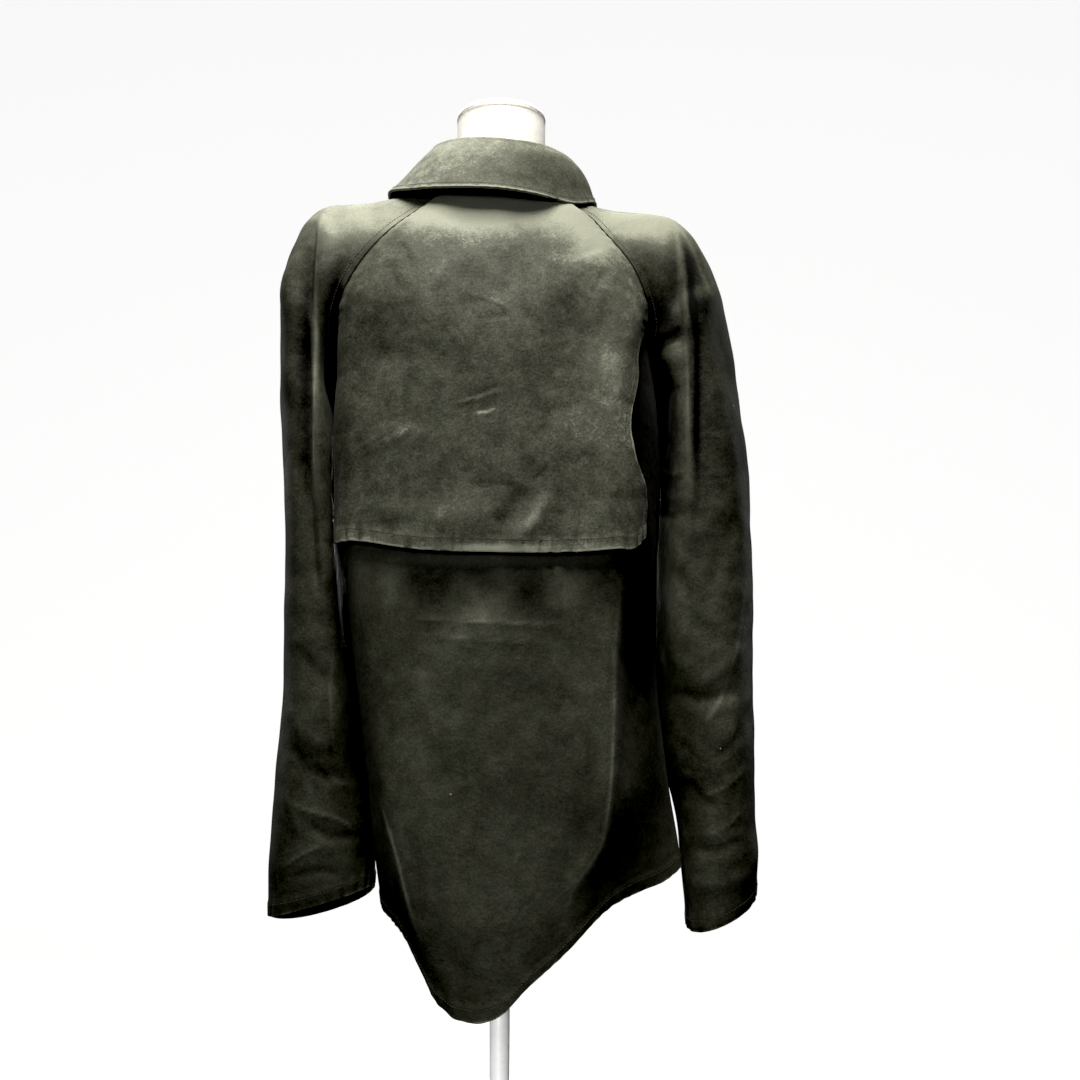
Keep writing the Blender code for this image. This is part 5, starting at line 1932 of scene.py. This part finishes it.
    def shell(self) -> Shell:
        """The piece with its folds and cuff."""
        grid = self.grid()
        away = grid.mean(axis=1, keepdims=True)
        away[: self.upper, :, 2] = np.minimum(away[: self.upper, :, 2], UNDERARM_Z)
        shell = Shell(self.name, grid, away)
        sides = shell.sides()
        cuff = shell.beside(Side.BOTTOM)
        raglan = np.arange(grid.shape[0])[:, None] < self.upper
        held = np.where(raglan, eased(sides / SEAM_HELD), eased(sides / 0.004))
        room = held * eased(shell.beside(Side.TOP) / NECK_HELD)
        shift = shell.pressed(self.part, room)
        shift += Slack(self.seed, 0.0009, 0.10).at(grid) * room
        shift += Slack(self.seed + 40, 0.0005, 0.035).at(grid) * room * eased(cuff / 0.05)
        shift += ripple(run_lengths(grid, 1), cuff, self.seed, 0.0007) * held
        shift += np.where(raglan, ripple(run_lengths(grid, 0), sides, self.seed + 1), 0) * held
        seam = np.where(raglan, sides, FAR)
        return shell.dressed(self.part, shift, cuff, seam, hem_wall(cuff))


@dataclass
class Collar:
    """The stand on the neck seam and the fall that turns down over it."""

    across: int = 230
    opening: float = math.radians(9)
    slant: float = math.radians(13)
    stand_gap: float = 0.0011
    stand_cut: Cut = Cut((0.490, 0.045))
    fall_cut: Cut = Cut((0.700, 0.085))
    slack: Slack = Slack(21, 0.0007, 0.07)

    def angles(self, opening: float) -> Values:
        """Angles from just past the front, round the back, to just short of the front again."""
        return np.linspace(-math.pi + opening, math.pi - opening, self.across + 1)

    def stand(self) -> Shell:
        """The collar stand."""
        angle = self.angles(self.opening * 0.4)
        foot = ring_points("neck", angle)
        head = ring_points("fold", angle, -0.0035)
        head[:, 2] -= 0.009
        share = np.linspace(1, 0, 13)[:, None, None]
        grid = foot[None] * (1 - share) + head[None] * share
        shell = Shell("collar_stand_cloth", grid, np.array([*NECK_CENTRE, 1.34]))
        plain = np.zeros(grid.shape[:2])
        shell.numbers = {"cloud": plain, "mark": plain, "hem": plain + FAR, "seam": plain + FAR}
        return shell

    def fall(self) -> Shell:
        """The collar fall, from its seam over the fold line to its free edge."""
        angle = self.angles(self.opening)
        seam = ring_points("fold", angle, -0.0035)
        seam[:, 2] -= 0.009 - self.stand_gap
        crest = ring_points("fold", angle)
        outer = ring_points("fold", angle, 0.0045)
        outer[:, 2] -= 0.005
        slant = np.clip(np.abs(angle) - 2.2, 0, None) / (math.pi - 2.2) * self.slant
        edge = ring_points("fall", angle - np.sign(angle) * slant)
        share = np.concatenate([np.linspace(0, 0.22, 13)[:-1], np.linspace(0.22, 1.0, 26)])
        grid = smooth([0.0, 0.12, 0.22, 1.0], np.stack([seam, crest, outer, edge]), share)
        shell = Shell("collar_fall_cloth", grid, np.array([*NECK_CENTRE, 1.20]))
        bottom = shell.beside(Side.BOTTOM)
        near = np.minimum(bottom, shell.sides())
        room = eased(shell.beside(Side.TOP) / NECK_HELD)
        shift = shell.pressed(Part.COLLAR, room)
        shift += self.slack.at(grid) * room
        shift += ripple(run_lengths(grid, 1), bottom, 8, 0.0004) * room
        hem = near + COLLAR_ROW
        hem = np.where(hem < 0.0095, hem - COLLAR_ROW, hem)
        return shell.dressed(Part.COLLAR, shift, hem, np.full_like(hem, FAR), hem_wall(near, 0.004))


@dataclass
class Buttons:
    """Four-hole buttons sewn down the overlapping edge."""

    finish: Material
    thread: Material
    count: int = 5
    radius: float = 0.011
    thickness: float = 0.0030
    top_z: float = 1.225
    pitch: float = 0.125
    stand: float = 0.0012
    hole_ring: float = 0.0030
    columns_in: int = 15

    def button(self) -> Object:
        """One button with a rim and a dished face."""
        half = self.thickness / 2
        profile = np.array([
            (0.0001, -half), (self.radius - 0.0012, -half), (self.radius, -half + 0.0008),
            (self.radius, half - 0.0009), (self.radius - 0.0007, half),
            (self.radius - 0.0020, half), (self.radius - 0.0032, half - 0.0008),
            (0.0001, half - 0.0009),
        ])
        return turned_profile("button_shape", profile, 40, (0.0, 0.0), self.finish)

    def places(self, front: Shell) -> tuple[Grid, Grid]:
        """Each button's middle and outward direction."""
        column = front.grid.shape[1] - self.columns_in
        lift = WALL / 2 + self.stand + self.thickness / 2
        spots, ways = [], []
        for number in range(self.count):
            level = self.top_z - number * self.pitch
            row = int(np.argmin(np.abs(front.grid[:, column, 2] - level)))
            way = front.outward[row, column]
            spots.append(front.grid[row, column] + way * lift)
            ways.append(way)
        return np.array(spots), np.array(ways)

    def build(self, front: Shell) -> list[Object]:
        """The row of buttons and the thread that holds them.

        Args:
            front: The front that they are sewn on.

        Returns:
            The two pieces.
        """
        spots, ways = self.places(front)
        base = plain_mesh("button_places", spots, [], self.finish)
        stored = base.data.attributes.new("way", "FLOAT_VECTOR", "POINT")
        stored.data.foreach_set("vector", ways.astype(np.float32).reshape(-1))
        shape = self.button()
        row = ButtonRow()
        values = {"Button": shape, "Spread": 0.9, "Seed": 5, "Finish": self.finish}
        buttons = row.run("buttons", base, values)
        bpy.data.objects.remove(shape, do_unlink=True)
        stand_for(buttons, *[f"button_{number + 1}" for number in range(self.count)])
        return [buttons, self.crossings(spots, ways)]

    def crossings(self, spots: Grid, ways: Grid) -> Object:
        """Thread that crosses between the holes of each button."""
        paths = []
        for spot, way in zip(spots, ways):
            side = np.cross(way, [0.0, 0.0, 1.0])
            side /= np.linalg.norm(side)
            up = np.cross(side, way)
            face = spot + way * (self.thickness / 2 - 0.0006)
            for sign in (-1, 1):
                slants = (side * sign + up, side * -sign - up)
                ends = [slant * self.hole_ring * 0.7 for slant in slants]
                share = np.linspace(0, 1, 7)[:, None]
                path = face + ends[0] * (1 - share) + ends[1] * share
                paths.append(path + way * 0.0006 * np.sin(share * math.pi))
        sewing = Sewing(self.thread, pitch=0.0011, length=0.0016, thickness=0.0008)
        return sewing.sew("button_thread", paths)


# ---- dress form and studio


@dataclass
class DressForm:
    """The limbless form: linen torso and neck, painted pole and base."""

    linen: Material
    cap: Material
    pole: Material
    base: Material
    thread: Material
    neck_radius: float = 0.0478
    neck_centre: Place = (0.0022, -0.010)
    neck_bottom: float = 1.3096
    rim_z: float = 1.4165
    top_z: float = 1.4278
    sides: int = 96
    axis: Place = (0.0, 0.0)
    pole_line: tuple[Place, ...] = (
        (0.0092, 0.0243), (0.0100, 0.0251), (0.0100, 0.3000), (0.0100, 0.5500), (0.0100, 0.7986),
        (0.0092, 0.7994),
    )
    base_line: tuple[Place, ...] = (
        (0.1630, 0.0000), (0.1644, 0.0006), (0.1650, 0.0020), (0.1650, 0.0170), (0.1640, 0.0205),
        (0.1615, 0.0230), (0.1580, 0.0240), (0.0400, 0.0240),
    )

    def build(self) -> list[Object]:
        """Dress the torso, and make the neck, the pole and the base.

        Returns:
            The painted pieces, which the low lamp lights.
        """
        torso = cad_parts["form_torso"]
        torso.data.materials.clear()
        torso.data.materials.append(self.linen)
        torso.data.shade_smooth()
        torso.data.set_sharp_from_angle(angle=math.radians(40))
        self.neck()
        self.seams()
        pole = self.turned("form_pole", self.pole_line, self.pole)
        return [pole, self.turned("form_base", self.base_line, self.base)]

    def turned(self, node: str, line: tuple[Place, ...], finish: Material) -> Object:
        """A painted piece turned about the pole's axis, in place of its node."""
        made = turned_profile(node + "_painted", np.array(line), self.sides, self.axis, finish)
        return stand_for(made, node)

    def neck(self) -> Object:
        """The neck with a welt at the rim of its cap."""
        height = self.rim_z - self.neck_bottom
        column = [(self.neck_radius, self.neck_bottom + height * step / 10) for step in range(10)]
        welt = [
            (self.neck_radius, self.rim_z - 0.0024),
            (self.neck_radius + 0.0004, self.rim_z - 0.0012),
            (self.neck_radius - 0.0008, self.rim_z - 0.0002),
            (self.neck_radius - 0.0002, self.rim_z + 0.0008),
        ]
        rise = self.top_z - self.rim_z
        dome = [
            (self.neck_radius * math.cos(turn) ** 0.62, self.rim_z + rise * math.sin(turn))
            for turn in np.linspace(0.22, math.pi / 2 - 0.03, 12)
        ]
        profile = np.array(column + welt + dome)
        made = turned_profile("neck_cover", profile, self.sides, self.neck_centre, self.linen)
        made.data.materials.append(self.cap)
        tops = [face.center.z > self.rim_z + 0.0005 for face in made.data.polygons]
        made.data.polygons.foreach_set("material_index", np.array(tops, np.int32))
        return stand_for(made, "form_neck")

    def seams(self) -> Object:
        """Stitches of the cap's seam and of the seam down the back of the neck."""
        angle = np.linspace(0, 2 * math.pi, 181)
        reach = self.neck_radius + 0.0003
        ring = np.stack([
            self.neck_centre[0] + reach * np.cos(angle),
            self.neck_centre[1] + reach * np.sin(angle),
            np.full_like(angle, self.rim_z - 0.0030),
        ], axis=1)
        down = math.radians(97)
        z = np.linspace(self.rim_z - 0.002, self.neck_bottom + 0.004, 60)
        spine = np.stack([
            np.full_like(z, self.neck_centre[0] + reach * math.cos(down)),
            np.full_like(z, self.neck_centre[1] + reach * math.sin(down)),
            z,
        ], axis=1)
        sewing = Sewing(self.thread, pitch=0.0030, length=0.0026, thickness=0.0005)
        made = sewing.sew("neck_stitches", [ring, spine])
        return made


@dataclass(frozen=True)
class Lamp:
    """A rectangular soft light, which the camera doesn't see.

    Attributes:
        name: Its name.
        place: Where it stands.
        size: Its width and height.
        power: Watts.
        colour: Its colour.
        aim: What it points at.
    """

    name: str
    place: tuple[float, float, float]
    size: Place
    power: float
    colour: Colour = WHITE
    aim: tuple[float, float, float] = (0.0, 0.0, 1.0)

    def build(self) -> Object:
        """The lamp in the scene."""
        data = bpy.data.lights.new(self.name, "AREA")
        data.shape = "RECTANGLE"
        data.size, data.size_y = self.size
        data.energy = self.power
        data.color = self.colour
        made = placed(self.name, data)
        made.location = self.place
        way = Vector(self.aim) - Vector(self.place)
        made.rotation_euler = way.to_track_quat("-Z", "Y").to_euler()
        made.visible_camera = False
        return made


@dataclass
class Studio:
    """A pale floor that sweeps up behind, and soft studio light."""

    lamps: tuple[Lamp, ...] = (
        Lamp("key", (0.04, 0.66, 2.64), (0.7, 1.1), 104.0, (1.0, 0.985, 0.92)),
        Lamp("fill", (0.3, 2.7, 1.3), (0.9, 0.7), 17.0, (0.98, 0.99, 1.0)),
        Lamp("front", (0.3, -1.1, 3.0), (1.0, 0.7), 26.0),
        Lamp("face", (0.0, -2.3, 1.9), (0.5, 1.0), 58.0),
        Lamp("left", (2.1, -1.5, 1.6), (0.8, 1.2), 10.0),
        Lamp("right", (-2.1, -1.5, 1.6), (0.8, 1.2), 10.0),
    )
    low: Lamp = Lamp("low", (0.5, 2.6, 0.5), (0.8, 0.6), 66.0, aim=(0.0, 0.0, 0.4))
    half_width: float = 9.0
    near: float = 6.0
    far: float = -5.0
    bend: float = 2.2
    height: float = 7.0
    black: float = 0.006

    def sweep(self) -> Object:
        """The floor and backdrop in one curved sheet."""
        turn = np.linspace(0, math.pi / 2, 17)
        line = [(self.near, 0.0)]
        line += [(self.far - self.bend * math.sin(a), self.bend * (1 - math.cos(a))) for a in turn]
        line.append((self.far - self.bend, self.height))
        points, faces = [], []
        for y, z in line:
            points += [(-self.half_width, y, z), (self.half_width, y, z)]
        for row in range(len(line) - 1):
            faces.append((2 * row, 2 * row + 1, 2 * row + 3, 2 * row + 2))
        made = plain_mesh("floor", points, faces, self.paper())
        made.data.shade_smooth()
        made.visible_diffuse = False
        made.visible_glossy = False
        return made

    @staticmethod
    def paper() -> Material:
        """Pale paper, which the camera sees evenly lit."""
        shader = Shader("floor_paper")
        grain = shader.noise(shader.place(), 3.0, 2.0)
        colour = shader.mix(grain, (0.80, 0.80, 0.79), (0.84, 0.84, 0.83))
        return shader.finish(
            Base_Color=colour, Roughness=0.9, Emission_Color=(*WHITE, 1.0), Emission_Strength=0.93
        )

    def light_stand(self, painted: Sequence[Object]) -> None:
        """A low lamp that reaches the form's pole and base alone."""
        reached = bpy.data.collections.new("stand")
        for piece in painted:
            reached.objects.link(piece)
        self.low.build().light_linking.receiver_collection = reached

    def build(self) -> None:
        """The sweep, the lights and the room's own light."""
        self.sweep()
        for lamp in self.lamps:
            lamp.build()
        world = bpy.data.worlds.new("room")
        world.use_nodes = True
        back = world.node_tree.nodes["Background"]
        back.inputs[0].default_value = (*WHITE, 1.0)
        back.inputs[1].default_value = 1.0
        world.cycles_visibility.diffuse = False
        world.cycles_visibility.glossy = False
        shown = bpy.context.scene.view_settings
        shown.view_transform = "Standard"
        shown.use_curve_mapping = True
        shown.curve_mapping.black_level = (self.black,) * 3
        bpy.context.scene.world = world


# ---- the coat


LEFT_SLEEVE = Sleeve(
    name="sleeve_left_cloth", node="sleeve_left", edge=0.0, part=Part.LEFT, seed=31,
    rings=(
        Ring(126.5, 4, 602, 229.5, 4, 571, 52, -46, 4, 16),
        Ring(127, -5, 628, 231.5, 2, 620, 58, -52, 0, 3),
        Ring(127.5, -12, 665, 228.5, 0, 665, 62, -58, 0, 0),
        Ring(133, -25, 730, 224, -4, 730, 66, -66, 0, 0),
        Ring(144, -32, 810, 221.5, -8, 810, 68, -76, 0, 0),
        Ring(155, -30, 890, 221.5, -10, 890, 70, -84, 0, 0),
        Ring(163, -20, 950, 223, -10, 950, 71, -88, 0, 0),
        Ring(166.5, -8, 1020, 226, -10, 1020, 73, -92, 0, 0),
    ),
    arcs=(
        Arc(1.100, 0.2315, -0.011, 1.100, 1.00, 0.096, 0.104, 0.120),
        Arc(1.125, 0.2325, -0.011, 1.140, 0.90, 0.070, 0.090, 0.110),
        Arc(1.160, 0.2325, -0.011, 1.185, 0.62, 0.050, 0.086, 0.094),
        Arc(1.195, 0.2305, -0.010, 1.226, 0.38, 0.046, 0.082, 0.080),
        Arc(1.230, 0.2225, -0.008, 1.262, 0.20, 0.046, 0.074, 0.070),
        Arc(1.256, 0.2085, -0.005, 1.290, 0.10, 0.046, 0.064, 0.062),
        Arc(1.276, 0.1900, -0.003, 1.3055, 0.04, 0.042, 0.054, 0.054),
        Arc(1.293, 0.1560, -0.002, 1.3065, 0.00, 0.034, 0.044, 0.044),
        Arc(1.306, 0.1180, -0.001, 1.3115, 0.00, 0.026, 0.032, 0.034),
        Arc(1.318, 0.0800, -0.004, 1.326, 0.00, 0.018, 0.022, 0.024),
    ),
    folds=(
        Fold(0.205, 0.12, 0.170, 0.78, 0.060, 0.012),
        Fold(0.330, 0.66, 0.300, 0.88, 0.060, 0.005),
        Fold(0.130, 0.62, 0.110, 0.84, 0.060, -0.004),
        Fold(0.780, 0.10, 0.820, 0.74, 0.060, 0.010),
    ),
    hidden_folds=(
        Fold(0.70, 0.05, 0.62, 0.20, 0.035, 0.0035),
        Fold(0.60, 0.16, 0.72, 0.24, 0.035, -0.0030),
        Fold(0.66, 0.26, 0.90, 0.36, 0.030, 0.0035),
        Fold(0.62, 0.42, 0.80, 0.46, 0.030, 0.0025),
        Fold(0.70, 0.62, 0.66, 0.92, 0.035, 0.0050),
        Fold(0.88, 0.60, 0.84, 0.86, 0.030, 0.0035),
    ),
)

RIGHT_SLEEVE = Sleeve(
    name="sleeve_right_cloth", node="sleeve_right", edge=1.0, part=Part.RIGHT, seed=57,
    rings=(
        Ring(-188, -6, 560, -257, -10, 594, 36, -58, 13, 4),
        Ring(-185, -8, 610, -260, -10, 625, 42, -62, 0, 0),
        Ring(-180.5, -12, 660, -258, -12, 660, 46, -68, 0, 0),
        Ring(-167, -30, 725, -258.5, -16, 725, 49, -76, 0, 0),
        Ring(-160, -45, 805, -258.5, -22, 805, 50, -86, 0, 0),
        Ring(-161, -50, 890, -261, -26, 890, 50, -96, 0, 0),
        Ring(-164, -45, 960, -261.5, -28, 960, 50, -102, 0, 0),
        Ring(-167, -35, 1030, -259.5, -30, 1030, 50, -106, 0, 0),
    ),
    arcs=(
        Arc(1.100, -0.2520, -0.032, 1.100, 1.00, 0.098, 0.106, 0.108),
        Arc(1.125, -0.2480, -0.032, 1.145, 0.88, 0.068, 0.092, 0.108),
        Arc(1.158, -0.2400, -0.032, 1.190, 0.60, 0.050, 0.086, 0.092),
        Arc(1.190, -0.2320, -0.031, 1.224, 0.36, 0.046, 0.080, 0.078),
        Arc(1.222, -0.2180, -0.029, 1.262, 0.20, 0.046, 0.072, 0.068),
        Arc(1.248, -0.2010, -0.027, 1.287, 0.10, 0.044, 0.062, 0.060),
        Arc(1.268, -0.1840, -0.024, 1.299, 0.04, 0.040, 0.052, 0.052),
        Arc(1.288, -0.1520, -0.020, 1.2995, 0.00, 0.033, 0.042, 0.042),
        Arc(1.303, -0.1140, -0.014, 1.3055, 0.00, 0.026, 0.030, 0.032),
        Arc(1.318, -0.0760, -0.010, 1.319, 0.00, 0.018, 0.020, 0.022),
    ),
    folds=(
        Fold(0.160, 0.22, 0.175, 0.80, 0.055, 0.010),
        Fold(0.320, 0.56, 0.240, 0.84, 0.060, 0.006),
        Fold(0.780, 0.10, 0.820, 0.74, 0.060, 0.010),
    ),
    hidden_folds=(
        Fold(0.66, 0.06, 0.60, 0.22, 0.035, 0.0035),
        Fold(0.62, 0.20, 0.74, 0.28, 0.035, -0.0028),
        Fold(0.64, 0.32, 0.88, 0.40, 0.030, 0.0032),
        Fold(0.60, 0.48, 0.78, 0.52, 0.030, 0.0025),
        Fold(0.68, 0.64, 0.64, 0.92, 0.035, 0.0050),
        Fold(0.87, 0.62, 0.84, 0.86, 0.030, 0.0035),
    ),
)


@dataclass
class Coat:
    """Every cloth piece of the coat with its stitches."""

    finishes: Finishes
    sewing: Sewing
    overlap: float = 0.055
    cape_row: float = 0.009
    front_row: float = 0.006

    def hang(
        self, shell: Shell, node: str, finish: Material,
        thread: str = "", rows: Sequence[Grid] = (),
    ) -> None:
        """Args:
            shell: The piece's surface.
            node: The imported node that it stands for.
            finish: Its outer finish.
            thread: The name of its stitches.
            rows: The lines that they follow.
        """
        inside = finish if finish is self.finishes.collar else self.finishes.inside
        made = shell.build(finish, inside, node)
        threads = [self.sewing.sew(thread, rows)] if rows else []

    def body(self) -> None:
        """The back and the cape."""
        back = BackPanel()
        shell = back.shell()
        rows = [shell.line(Side.BOTTOM, HEM_ROW, HEM_LIFT)]
        finish = self.finishes.body
        self.hang(shell, "back_panel", finish, "back_stitches", rows)
        cape = Cape()
        shell = cape.shell()
        rows = [shell.line(Side.BOTTOM, HEM_ROW, HEM_LIFT, 5, -5)]
        for side in (Side.LEFT, Side.RIGHT):
            rows.append(shell.line(side, self.cape_row, THREAD_LIFT, cape.upper - 10, -5))
        finish = self.finishes.cape
        self.hang(shell, "cape", finish, "cape_stitches", rows)

    def fronts(self) -> Shell:
        """Both fronts, the left one over the right.

        Returns:
            The left front, which carries the buttons.
        """
        left = Front("front_left_cloth", "front_left", 0.0, 0.5 + self.overlap, LAYER + 0.0007)
        right = Front("front_right_cloth", "front_right", 0.5 - self.overlap, 1.0, 0.0)
        shells = [front.shell() for front in (left, right)]
        for front, shell in zip((left, right), shells):
            rows = [shell.line(Side.BOTTOM, HEM_ROW, HEM_LIFT, 4, -4)]
            if front is left:
                rows.append(shell.line(Side.RIGHT, self.front_row, THREAD_LIFT, 4, -4))
            thread = front.node + "_stitches"
            finish = self.finishes.body
            self.hang(shell, front.node, finish, thread, rows)
        return shells[0]

    def sleeves(self) -> None:
        """Both sleeves with their raglan and cuff stitches."""
        for sleeve in (LEFT_SLEEVE, RIGHT_SLEEVE):
            shell = sleeve.shell()
            rows = [
                shell.line(side, SEAM_ROW, THREAD_LIFT, 3, sleeve.upper - 2)
                for side in (Side.LEFT, Side.RIGHT)
            ]
            rows.append(shell.line(Side.BOTTOM, HEM_ROW, HEM_LIFT))
            thread = sleeve.node + "_stitches"
            finish = self.finishes.sleeve
            self.hang(shell, sleeve.node, finish, thread, rows)

    def collar(self) -> None:
        """The stand and the fall."""
        collar = Collar()
        finish = self.finishes.collar
        self.hang(collar.stand(), "collar_stand", finish)
        shell = collar.fall()
        lift = THREAD_LIFT + 0.0003
        rows = [
            shell.line(side, COLLAR_ROW, lift, first, -3)
            for side, first in ((Side.BOTTOM, 3), (Side.LEFT, 14), (Side.RIGHT, 14))
        ]
        cut, thread = collar.fall_cut, "collar_stitches"
        self.hang(shell, "collar_fall", finish, thread, rows)


def main() -> None:
    """Build the camera, the studio, the form and the coat."""
    logging.basicConfig(level=logging.INFO, format="%(message)s")
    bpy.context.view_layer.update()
    SIGHT.camera()
    studio = Studio()
    studio.build()
    thread = Thread().material()
    pale_thread = Thread("cover_thread", (0.30, 0.26, 0.24)).material()
    form = DressForm(
        linen=Linen("form_linen").material(),
        cap=Linen("form_cap_linen", (0.78, 0.75, 0.72), (0.56, 0.51, 0.48)).material(),
        pole=Painted("form_pole_paint", (0.78, 0.78, 0.77)).material(),
        base=Painted("form_base_paint", (0.76, 0.76, 0.75), 0.5).material(),
        thread=pale_thread,
    )
    studio.light_stand(form.build())
    coat = Coat(Finishes.make(), Sewing(thread))
    coat.body()
    coat.sleeves()
    coat.collar()
    front = coat.fronts()
    Buttons(Horn().material(), thread).build(front)
    bpy.context.view_layer.update()


if __name__ == "__main__":
    main()
